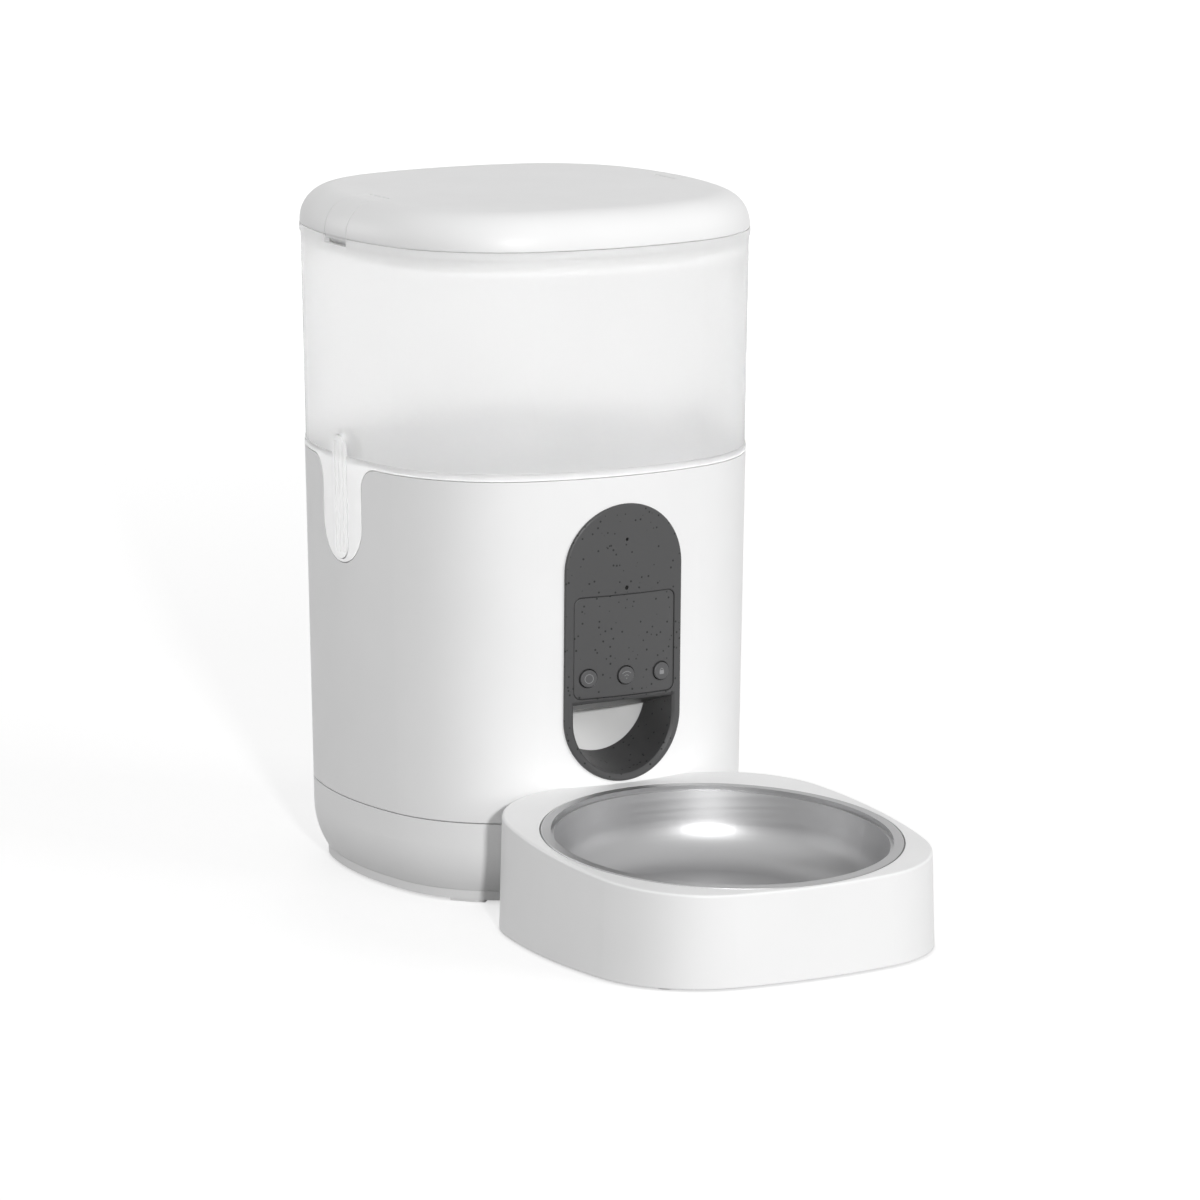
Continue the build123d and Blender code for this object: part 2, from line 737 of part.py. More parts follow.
# Gearbox case and cover, motor
idler_y = output_tip + idler_small_tip + gear_gap
pinion_y = idler_y + idler_tip + pinion_tip + gear_gap
case_half = output_tip + 5
case_front = -output_tip - 4
case_back = pinion_y + pinion_tip + 5
case_mid = (case_front + case_back) / 2
cover_low = gearbox_high - case_wall
idler_gear_z = gearbox_low + 7
output_gear_z = idler_gear_z + gear_thick + 4

with BuildPart() as gearbox_case:
    with BuildSketch(level(gearbox_low)):
        with Locations((0, case_mid)):
            RectangleRounded(2 * case_half, case_back - case_front, 6)
    extrude(amount=cover_low - touch - gearbox_low)
    with BuildSketch(level(gearbox_low + case_wall)):
        with Locations((0, case_mid)):
            RectangleRounded(2 * (case_half - case_wall), case_back - case_front - 2 * case_wall, 4)
    extrude(amount=gearbox_height, mode=Mode.SUBTRACT)
    with BuildSketch(level(gearbox_low - 1)):
        with Locations((0, pinion_y)):
            Circle(2)
    extrude(amount=case_wall + 2, mode=Mode.SUBTRACT)
gearbox_case.part.label = "gearbox_case"
export_step(gearbox_case.part, "parts/gearbox_case.step")

with BuildPart() as gearbox_cover:
    with BuildSketch(level(cover_low)):
        with Locations((0, case_mid)):
            RectangleRounded(2 * case_half, case_back - case_front, 6)
        Circle(shaft_radius + fit, mode=Mode.SUBTRACT)
    extrude(amount=gearbox_high - cover_low)
    with BuildSketch(level(gearbox_high)):
        with Locations((6 - case_half, 12), (case_half - 6, 12), (0, chamber_radius - 6)):
            Circle(3)
    extrude(amount=gearbox_post - touch)
gearbox_cover.part.label = "gearbox_cover"
export_step(gearbox_cover.part, "parts/gearbox_cover.step")

with BuildPart() as motor:
    with BuildSketch(level(motor_low)):
        with Locations((0, pinion_y)):
            Circle(motor_radius)
    extrude(amount=gearbox_low - touch - motor_low)
    fillet(motor.edges().filter_by(GeomType.CIRCLE), 1.5)
    with BuildSketch(level(gearbox_low - 4)):
        with Locations((0, pinion_y)):
            Circle(1.9)
    extrude(amount=8, mode=Mode.SUBTRACT)
motor.part.label = "motor"
export_step(motor.part, "parts/motor.step")


def toothed(y, z, tip, depth, teeth):
    """Wheel outline with straight teeth, drawn at height z around (0, y)."""
    pitch = 2 * math.pi / teeth
    points = []
    for tooth in range(teeth):
        start = tooth * pitch
        for share, radius in ((-0.28, tip - depth), (-0.12, tip), (0.12, tip), (0.28, tip - depth)):
            angle = start + share * pitch
            points.append((radius * math.cos(angle), y + radius * math.sin(angle)))
    with BuildSketch(level(z)) as wheel:
        with BuildLine():
            Polyline(*points, close=True)
        make_face()
    return wheel.sketch


# Gears: output gear with the drive shaft, stepped idler, motor pinion
blade_low = chamber_floor + blade_floor_gap
blade_high = blade_low + blade_height
blade_radius = chamber_radius - blade_tip_gap
hub_high = blade_high + 3
shaft_top = hub_high - 6.2
with BuildPart() as output_gear:
    extrude(toothed(0, output_gear_z, output_tip, 2.2, 26), amount=gear_thick)
    with BuildSketch(level(gearbox_low + case_wall + 0.4)):
        Circle(shaft_radius)
    extrude(amount=shaft_top - gearbox_low - case_wall - 0.4)
output_gear.part.label = "output_gear"
export_step(output_gear.part, "parts/output_gear.step")

with BuildPart() as idler_gear:
    extrude(toothed(idler_y, idler_gear_z, idler_tip, 1.8, 24), amount=gear_thick)
    extrude(toothed(idler_y, output_gear_z - 1, idler_small_tip, 2.2, 10), amount=gear_thick + 2)
    with BuildSketch(level(gearbox_low + case_wall + 0.4)):
        with Locations((0, idler_y)):
            Circle(2)
    extrude(amount=cover_low - gearbox_low - case_wall - 0.8)
idler_gear.part.label = "idler_gear"
export_step(idler_gear.part, "parts/idler_gear.step")

with BuildPart() as motor_pinion:
    extrude(toothed(pinion_y, idler_gear_z - 1, pinion_tip, 1.6, 8), amount=gear_thick + 2)
    with BuildSketch(level(gearbox_low - 3)):
        with Locations((0, pinion_y)):
            Circle(1.2)
    extrude(amount=14)
motor_pinion.part.label = "motor_pinion"
export_step(motor_pinion.part, "parts/motor_pinion.step")

# Rotor hub, soft blades and stirrer
with BuildPart() as rotor_hub:
    with BuildSketch(level(blade_low)):
        Circle(hub_radius)
    extrude(amount=hub_high - blade_low)
    fillet(rotor_hub.faces().sort_by(Axis.Z)[-1].edges(), 3)
    with BuildSketch(level(blade_low - 1)):
        Circle(shaft_radius + 0.05)
    extrude(amount=shaft_top - blade_low + 1.2, mode=Mode.SUBTRACT)
rotor_hub.part.label = "rotor_hub"
export_step(rotor_hub.part, "parts/rotor_hub.step")

with BuildPart() as rotor_blades:
    with BuildSketch(level(blade_low)):
        Circle(hub_radius + 2.2)
        with PolarLocations((hub_radius + blade_radius) / 2, blade_count, start_angle=30):
            Rectangle(blade_radius - hub_radius, blade_thick)
        Circle(hub_radius + 0.05, mode=Mode.SUBTRACT)
    extrude(amount=blade_high - blade_low)
rotor_blades.part.label = "rotor_blades"
export_step(rotor_blades.part, "parts/rotor_blades.step")

stirrer_z = hub_high + 18
stirrer_half = chamber_radius - 20
with BuildPart() as stirrer:
    with BuildSketch(level(hub_high + touch)):
        Circle(5)
    extrude(amount=stirrer_z + 7 - hub_high, taper=3)
    with BuildSketch(side.offset(-stirrer_half)):
        with Locations((0, stirrer_z)):
            Circle(2.6)
    extrude(amount=2 * stirrer_half)
    with BuildSketch(level(stirrer_z)):
        with Locations((3 - stirrer_half, 0), (stirrer_half - 3, 0)):
            Circle(2.4)
    extrude(amount=12)
stirrer.part.label = "stirrer"
export_step(stirrer.part, "parts/stirrer.step")

# Tank: tapered bucket, funnel with its spout, a tongue on each side, latch notches in the rim
tongue_skin = curved_patch(tongue_outline(0), tongue_low - 2, tank_seam_z + 4, -wall, -touch)
catch_low = tongue_low + catch_margin
catch_high = tank_seam_z + catch_rise
channel_wide = catch_width + 2 * catch_gap
channel_low = catch_low - catch_gap
channel_high = catch_high + catch_gap
trough_skin = curved_patch(upright_slot(side, channel_wide + 2 * channel_side, channel_low - channel_end,
                                        channel_high + channel_side),
                           channel_low - 4, channel_high + 6, channel_back, -tank_inset - 0.2)
channel_void = curved_patch(upright_slot(side, channel_wide, channel_low, channel_high),
                            channel_low - 4, channel_high + 6, channel_floor, 3)

spout_low = deck_top - spout_dip
throat_z = deck_top + throat_rise
spout_half = chamber_radius - spout_gap - spout_corner_reach


def spout(z, grow):
    """Outline of the spout that stands in the chamber's mouth, moved outward by grow."""
    return rounded_square(level(z), spout_half, spout_half, spout_side, spout_corner, grow)


with BuildPart() as tank:
    loft(stack(tank_seam_z, lid_seam_z, -tank_inset), ruled=True)
    loft(stack(lid_seam_z - rim_band, lid_seam_z), ruled=True)
    loft(stack(tank_seam_z, tank_seam_z + lip_band), ruled=True)
    loft([spout(throat_z, 0), section(tank_seam_z, funnel_top)], ruled=True)
    loft([spout(spout_low, 0), spout(throat_z, 0)], ruled=True)
    tank_inner = -tank_inset - tank_wall
    loft([spout(spout_low - 1, -tank_wall), spout(throat_z, -tank_wall),
          section(tank_seam_z + 2.8, tank_inner), section(lid_seam_z + 1, tank_inner)],
         ruled=True, mode=Mode.SUBTRACT)
    add(tongue_skin)
    mirror(tongue_skin, about=Plane.YZ)
    add(trough_skin)
    mirror(trough_skin, about=Plane.YZ)
    add(channel_void, mode=Mode.SUBTRACT)
    mirror(channel_void, about=Plane.YZ, mode=Mode.SUBTRACT)
    with BuildSketch(side):
        with Locations((0, lid_seam_z)):
            Rectangle(2 * latch_notch, 2 * rim_band + 0.4)
    extrude(amount=body_width, both=True, mode=Mode.SUBTRACT)
tank.part.label = "tank"
export_step(tank.part, "parts/tank.step")

# Tank catches: ribbed strips that lie in the channels
catch_skin = curved_patch(upright_slot(side, catch_width, catch_low, catch_high),
                          catch_low - 4, catch_high + 4, catch_back, catch_proud)
catch_low_groove = catch_low + catch_groove_end
catch_high_groove = catch_high - catch_groove_end
with BuildPart() as tank_catch_right:
    add(catch_skin)
    for step in (-1, 0, 1):
        groove_line = upright_slot(side, catch_groove, catch_low_groove, catch_high_groove, step * catch_groove_pitch)
        groove = curved_patch(groove_line, catch_low - 4, catch_high + 4, catch_proud - catch_groove_depth,
                              catch_proud + 2)
        add(groove, mode=Mode.SUBTRACT)
tank_catch_right.part.label = "tank_catch_right"
export_step(tank_catch_right.part, "parts/tank_catch_right.step")

with BuildPart() as tank_catch_left:
    mirror(tank_catch_right.part, about=Plane.YZ)
tank_catch_left.part.label = "tank_catch_left"
export_step(tank_catch_left.part, "parts/tank_catch_left.step")

# Lid: rounded cover with a ring that drops into the tank, window for each latch
with BuildPart() as lid_outside:
    with BuildSketch(level(lid_low)):
        add(section(lid_seam_z, -lid_inset).moved(Location((0, -body_y, -lid_seam_z))))
    extrude(amount=total_height - lid_low)
    fillet(lid_outside.faces().sort_by(Axis.Z)[-1].edges(), lid_edge)

with BuildPart() as lid_inside:
    with BuildSketch(level(lid_low - 1)):
        add(section(lid_seam_z, -lid_inset - lid_wall).moved(Location((0, -body_y, -lid_seam_z))))
    extrude(amount=total_height - lid_wall - lid_low + 1)
    fillet(lid_inside.faces().sort_by(Axis.Z)[-1].edges(), lid_edge - lid_wall)

latch_inner_x = body_half - latch_reach
latch_tail = lid_seam_z - latch_tail_drop
window_half = latch_half + latch_gap
window_x = latch_inner_x - latch_slit
window_low = lid_seam_z + latch_sill
skirt_x = body_half - 5.0
skirt_high = 3.0
cap_low = lid_seam_z - cap_drop
cap_high = cap_low + cap_thick
box_high = total_height - lid_wall - touch

with BuildPart() as lid_cover:
    add(lid_outside.part)
    with BuildSketch(level(lid_low)):
        Rectangle(2 * body_width, 2 * body_width)
    extrude(amount=-3 * lid_height)

with BuildPart() as lid_ring:
    loft(stack(plug_low, total_height, plug_outer), ruled=True)
    loft(stack(plug_low - 1, total_height + 1, plug_inner), ruled=True, mode=Mode.SUBTRACT)
    add(lid_cover.part, mode=Mode.INTERSECT)

with BuildPart() as latch_window:
    with BuildSketch(side.offset(window_x)):
        with Locations((0, total_height)):
            Rectangle(2 * window_half, 2 * (total_height - window_low))
    extrude(amount=body_half)
    with BuildSketch(side.offset(skirt_x)):
        with Locations((0, lid_low)):
            Rectangle(2 * window_half, 2 * skirt_high)
    extrude(amount=body_half)

with BuildPart() as lid:
    add(lid_outside.part)
    add(lid_inside.part, mode=Mode.SUBTRACT)
    add(lid_ring.part)
    add(latch_window.part, mode=Mode.SUBTRACT)
    mirror(latch_window.part, about=Plane.YZ, mode=Mode.SUBTRACT)
lid.part.label = "lid"
export_step(lid.part, "parts/lid.step")

# Lid latches: flank pieces with a tail that reaches into the rim notch
with BuildPart() as lid_latch_right:
    add(lid_outside.part)
    add(lid_inside.part, mode=Mode.SUBTRACT)
    with BuildSketch(side.offset(latch_inner_x)):
        with Locations((0, total_height)):
            Rectangle(2 * latch_half, 4 * lid_height)
    extrude(amount=body_half, mode=Mode.INTERSECT)
    tail_x = half_width(latch_tail) - 1.2
    with BuildSketch(level(latch_tail)):
        with Locations((tail_x - 1.0, 0)):
            Rectangle(2.0, 2 * latch_half)
    extrude(amount=lid_low + 1 - latch_tail)
lid_latch_right.part.label = "lid_latch_right"
export_step(lid_latch_right.part, "parts/lid_latch_right.step")

with BuildPart() as lid_latch_left:
    mirror(lid_latch_right.part, about=Plane.YZ)
lid_latch_left.part.label = "lid_latch_left"
export_step(lid_latch_left.part, "parts/lid_latch_left.step")

# Soft seal round the lid's ring
seal_low = plug_low + 2
with BuildPart() as lid_seal:
    loft(stack(seal_low, seal_low + seal_height, -tank_inset - tank_wall - seal_gap), ruled=True)
    loft(stack(seal_low - 1, seal_low + seal_height + 1, plug_outer + touch), ruled=True, mode=Mode.SUBTRACT)
lid_seal.part.label = "lid_seal"
export_step(lid_seal.part, "parts/lid_seal.step")

# Desiccant box under the lid, its bag and its twist cap
with BuildPart() as desiccant_box:
    with BuildSketch(level(cap_high + cap_gap)):
        Circle(cap_radius)
    extrude(amount=box_high - cap_high - cap_gap)
    with BuildSketch(level(cap_high)):
        Circle(cap_radius - cap_wall)
    extrude(amount=box_high - cap_high - cap_wall, mode=Mode.SUBTRACT)
desiccant_box.part.label = "desiccant_box"
export_step(desiccant_box.part, "parts/desiccant_box.step")

with BuildPart() as desiccant_bag:
    with BuildSketch(level(cap_high + 1.2)):
        Circle(cap_radius - cap_wall - 2.2)
    extrude(amount=box_high - cap_high - cap_wall - 4.5)
    fillet(desiccant_bag.edges(), 4)
desiccant_bag.part.label = "desiccant_bag"
export_step(desiccant_bag.part, "parts/desiccant_bag.step")

with BuildPart() as desiccant_cap:
    with BuildSketch(level(cap_low)):
        Circle(cap_radius)
    extrude(amount=cap_high - cap_low)
    fillet(desiccant_cap.faces().sort_by(Axis.Z)[0].edges(), 1)
    with BuildSketch(level(cap_low - 1)):
        with PolarLocations(cap_radius - 13, 12):
            SlotOverall(14, 2.4)
    extrude(amount=cap_thick + 3, mode=Mode.SUBTRACT)
    with BuildSketch(level(cap_low - 3)):
        Rectangle(cap_radius - 4, 3)
    extrude(amount=4)
desiccant_cap.part.label = "desiccant_cap"
export_step(desiccant_cap.part, "parts/desiccant_cap.step")

# Tray: sloping top with the bowl seat, hollow below, rear cut to the body's curve
tray_plane = Plane(origin=(0, tray_y, tray_top)).rotated((tray_tilt, 0, 0))
bowl_z = tray_top + math.tan(math.radians(tray_tilt)) * (bowl_y - tray_y)
bowl_plane = Plane(origin=(0, bowl_y, bowl_z)).rotated((tray_tilt, 0, 0))
tray_over = tray_top + 24
seat_depth = 1.8
seat_hole = bowl_radius - 3.0
lug_root = 4.1            # the lugs start in the tray's wall, this far behind the body's widest front


def tray_section(z, grow):
    draft = tray_draft * (tray_top - z) / (tray_top - tray_low)
    return rounded_square(Plane(origin=(0, tray_y, z)), tray_half_x, tray_half_y, tray_side_radius,
                          tray_corner_radius, grow + draft)


with BuildPart() as tray_void:
    loft([tray_section(flange_high, -tray_wall), tray_section(tray_over, -tray_wall)], ruled=True)
    loft(stack(-1, tray_over + 10, tray_gap + tray_wall), ruled=True, mode=Mode.SUBTRACT)
    with BuildSketch(tray_plane.offset(-tray_plate)):
        Rectangle(2 * body_width, 2 * body_width)
    extrude(amount=tray_over, mode=Mode.SUBTRACT)

with BuildPart() as tray_opening:
    loft([tray_section(-1, -flange_width), tray_section(2 * flange_high, -flange_width)], ruled=True)
    loft(stack(-2, 2 * flange_high + 2, tray_gap + flange_width), ruled=True, mode=Mode.SUBTRACT)

with BuildPart() as tray:
    loft([tray_section(tray_low, 0), tray_section(tray_over, 0)], ruled=True)
    loft(stack(0, tray_over + 10, tray_gap), ruled=True, mode=Mode.SUBTRACT)
    with BuildSketch(tray_plane):
        Rectangle(2 * body_width, 2 * body_width)
    extrude(amount=tray_over, mode=Mode.SUBTRACT)
    fillet(tray.faces().sort_by(Axis.Z)[-1].edges(), 1.0)
    add(tray_void.part, mode=Mode.SUBTRACT)
    add(tray_opening.part, mode=Mode.SUBTRACT)
    with BuildSketch(bowl_plane.offset(-seat_depth)):
        Circle(bowl_radius + bowl_gap)
    extrude(amount=20, mode=Mode.SUBTRACT)
    with BuildSketch(bowl_plane.offset(-20)):
        Circle(seat_hole)
    extrude(amount=40, mode=Mode.SUBTRACT)
    with BuildSketch(level(lug_low)):
        with GridLocations(2 * lug_x, 1, 2, 1):
            with Locations((0, lug_root - body_half + lug_length / 2)):
                Rectangle(lug_width, lug_length)
    extrude(amount=lug_height)
tray.part.label = "tray"
export_step(tray.part, "parts/tray.step")

pad_radius = 3.6
corner_x, corner_y = corner_centre(tray_half_x, tray_half_y, tray_side_radius, tray_corner_radius)
pad_reach = (tray_corner_radius - flange_width / 2) * math.sqrt(0.5)
pad_front = (corner_x + pad_reach, -corner_y - pad_reach)
pad_rear = (tray_half_x + tray_draft - flange_width / 2 - 2, corner_y - 9)
pad_places = {"front_left": (-1, pad_front), "front_right": (1, pad_front),
              "rear_left": (-1, pad_rear), "rear_right": (1, pad_rear)}
for place, (sign, spot) in pad_places.items():
    with BuildPart() as tray_pad:
        with BuildSketch(Plane(origin=(0, tray_y, 0))):
            with Locations((sign * spot[0], spot[1])):
                Circle(pad_radius)
        extrude(amount=tray_low - touch)
    tray_pad.part.label = "tray_pad_" + place
    export_step(tray_pad.part, "parts/tray_pad_" + place + ".step")

# Bowl: thin sheet with a rolled rim, a step below it and a rounded bottom
bowl_axis = Axis(bowl_plane.origin, bowl_plane.z_dir)
bowl_cut = Plane(origin=bowl_plane.origin, x_dir=(1, 0, 0), z_dir=-bowl_plane.y_dir)
inner_rim = bowl_radius - bowl_rim
rim_top = 0.3
bottom_half = inner_rim - 21.8
wall_low = 18.0 - bowl_depth


def bowl_profile(sheet, top):
    """Half section of the bowl's hollow, moved outward by sheet."""
    wall_x = inner_rim + sheet
    step_z = -bowl_step - sheet
    low_x = wall_x - 1.4
    floor_z = -bowl_depth - sheet
    with BuildSketch(bowl_cut) as profile:
        with BuildLine():
            Line((0, top), (wall_x, top))
            Line((wall_x, top), (wall_x, step_z))
            Line((wall_x, step_z), (low_x, step_z))
            Line((low_x, step_z), (low_x - 1.6, wall_low))
            ThreePointArc((low_x - 1.6, wall_low), (low_x - 7.5, floor_z + 5.6), (bottom_half, floor_z))
            Line((bottom_half, floor_z), (0, floor_z))
            Line((0, floor_z), (0, top))
        make_face()
    return profile.sketch


with BuildPart() as bowl:
    revolve(bowl_profile(bowl_sheet, rim_top - 0.2), axis=bowl_axis)
    with BuildSketch(bowl_plane.offset(rim_top - 1.3)):
        Circle(bowl_radius)
    extrude(amount=1.3)
    fillet(bowl.faces().sort_by(Axis.Z)[-1].edges(), 0.6)
    revolve(bowl_profile(0, rim_top + 1), axis=bowl_axis, mode=Mode.SUBTRACT)
bowl.part.label = "bowl"
export_step(bowl.part, "parts/bowl.step")
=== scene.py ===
"""Dresses the automatic pet feeder: finishes, small fitted pieces, studio and camera."""

import logging
import math
from abc import ABC, abstractmethod
from collections.abc import Callable, Sequence
from dataclasses import dataclass, field
from enum import Enum
from itertools import product

import bmesh
import bpy
from mathutils import Matrix, Vector


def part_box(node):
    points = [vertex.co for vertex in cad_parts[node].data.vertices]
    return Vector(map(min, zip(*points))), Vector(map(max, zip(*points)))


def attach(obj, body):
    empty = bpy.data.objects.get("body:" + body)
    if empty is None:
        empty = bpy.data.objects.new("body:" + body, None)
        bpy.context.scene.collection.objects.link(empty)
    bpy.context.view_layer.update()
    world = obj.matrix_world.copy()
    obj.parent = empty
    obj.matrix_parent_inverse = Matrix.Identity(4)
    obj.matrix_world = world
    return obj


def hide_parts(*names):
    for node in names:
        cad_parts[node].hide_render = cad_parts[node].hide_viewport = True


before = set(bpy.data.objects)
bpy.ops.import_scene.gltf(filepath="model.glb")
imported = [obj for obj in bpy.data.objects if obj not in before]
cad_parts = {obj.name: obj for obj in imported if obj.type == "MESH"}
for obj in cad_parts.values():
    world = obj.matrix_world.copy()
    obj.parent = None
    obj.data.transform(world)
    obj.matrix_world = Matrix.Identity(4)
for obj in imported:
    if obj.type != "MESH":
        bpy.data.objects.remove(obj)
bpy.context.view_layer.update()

LOG = logging.getLogger("feeder")
MM = 0.001
LEVEL = 0.99  # share of the full height or slope from which something counts as level
TOUCH = 0.01 * MM
NEAR = 0.1 * MM
TO_FRONT = (math.pi / 2, 0, 0)  # turns a flat piece from facing up to facing the front

Colour = tuple[float, float, float]
Place = tuple[float, float, float]
Span = tuple[float, float]
Material = bpy.types.Material
Piece = bpy.types.Object
Socket = bpy.types.NodeSocket


class Axis(Enum):
    """The feeder's axes: X runs to the right, Y to the rear and Z up."""

    X = "X"
    Y = "Y"
    Z = "Z"


class Side(Enum):
    """The two sides of the feeder, seen from the front, with their way along X."""

    LEFT = -1
    RIGHT = 1


class Row(Enum):
    """The two rows of screws, with their way along Y."""

    FRONT = -1
    REAR = 1


class Icon(Enum):
    """The mark on each of the three push buttons."""

    RING = "left"
    WAVES = "middle"
    LOCK = "right"


class Grain(Enum):
    """Texture of the mould that a plastic piece came out of: grains in a metre, and their depth."""

    POLISHED = (900.0, 0.004 * MM)
    SATIN = (2600.0, 0.010 * MM)
    BLASTED = (4200.0, 0.022 * MM)


class Pick(Enum):
    """What is picked in edit mode."""

    POINT = "VERT"
    EDGE = "EDGE"
    FACE = "FACE"


def shade(colour: Colour, by: float, lift: float = 0.0) -> Colour:
    """Make a colour darker or lighter, by a factor and a lift, up to 1 at most."""
    return tuple(min(1.0, part * by + lift) for part in colour)


class Board:
    """Node tree that is laid out step by step."""

    def __init__(self, tree: bpy.types.NodeTree) -> None:
        """Empty the tree."""
        self.tree = tree
        tree.nodes.clear()

    def add(self, kind: str, **settings: object) -> bpy.types.Node:
        """Add a node.

        Args:
            kind: Blender's name of the node.
            settings: Properties to set on it.

        Returns:
            The new node.
        """
        node = self.tree.nodes.new(kind)
        for key, value in settings.items():
            setattr(node, key, value)
        return node

    def join(self, source: Socket, target: Socket) -> None:
        """Link one socket to another."""
        self.tree.links.new(source, target)

    def wire(self, node: bpy.types.Node, **inputs: object) -> bpy.types.Node:
        """Feed a node's inputs, which are named in lower case with underscores between their words.

        Args:
            node: The node.
            inputs: For each input, the socket to link or a constant.

        Returns:
            The node.
        """
        for key, value in inputs.items():
            words = [word if word.isupper() else word.capitalize() for word in key.split("_")]
            target = node.inputs[" ".join(words)]
            if isinstance(value, Socket):
                self.join(value, target)
            else:
                target.default_value = value
        return node

    def coords(self) -> Socket:
        """Object coordinates."""
        return self.add("ShaderNodeTexCoord").outputs["Object"]

    def reach(self, where: Socket) -> Socket:
        """Distance of each point from the middle.

        Args:
            where: Vector socket.

        Returns:
            The distance, in metres.
        """
        node = self.add("ShaderNodeVectorMath", operation="LENGTH")
        self.join(where, node.inputs[0])
        return node.outputs["Value"]

    def spread(self, value: Socket, low: float, high: float, start: float = 0.3, end: float = 0.7) -> Socket:
        """Map a value to a range.

        Args:
            value: The value to map.
            low: Result at start and below.
            high: Result at end and above.
            start: Value that gives low.
            end: Value that gives high.

        Returns:
            The mapped value.
        """
        node = self.add("ShaderNodeMapRange")
        self.wire(node, value=value, from_min=start, from_max=end, to_min=low, to_max=high)
        return node.outputs["Result"]

    def sums(self, kind: str, first: Socket, second: Socket | float) -> Socket:
        """Work out two values with a Math node.

        Args:
            kind: The Math node's operation.
            first: Socket.
            second: Socket or number.

        Returns:
            The result.
        """
        node = self.add("ShaderNodeMath", operation=kind)
        self.join(first, node.inputs[0])
        if isinstance(second, (int, float)):
            node.inputs[1].default_value = second
        else:
            self.join(second, node.inputs[1])
        return node.outputs["Value"]

    def sight(self) -> tuple[Socket, Socket]:
        """Tell the rays that show a surface from those that carry its light.

        Returns:
            1 for camera rays, and 1 for camera, glossy and transmission rays.
        """
        rays = self.add("ShaderNodeLightPath").outputs
        direct = rays["Is Camera Ray"]
        shown = self.sums("MAXIMUM", direct, rays["Is Glossy Ray"])
        return direct, self.sums("MAXIMUM", shown, rays["Is Transmission Ray"])


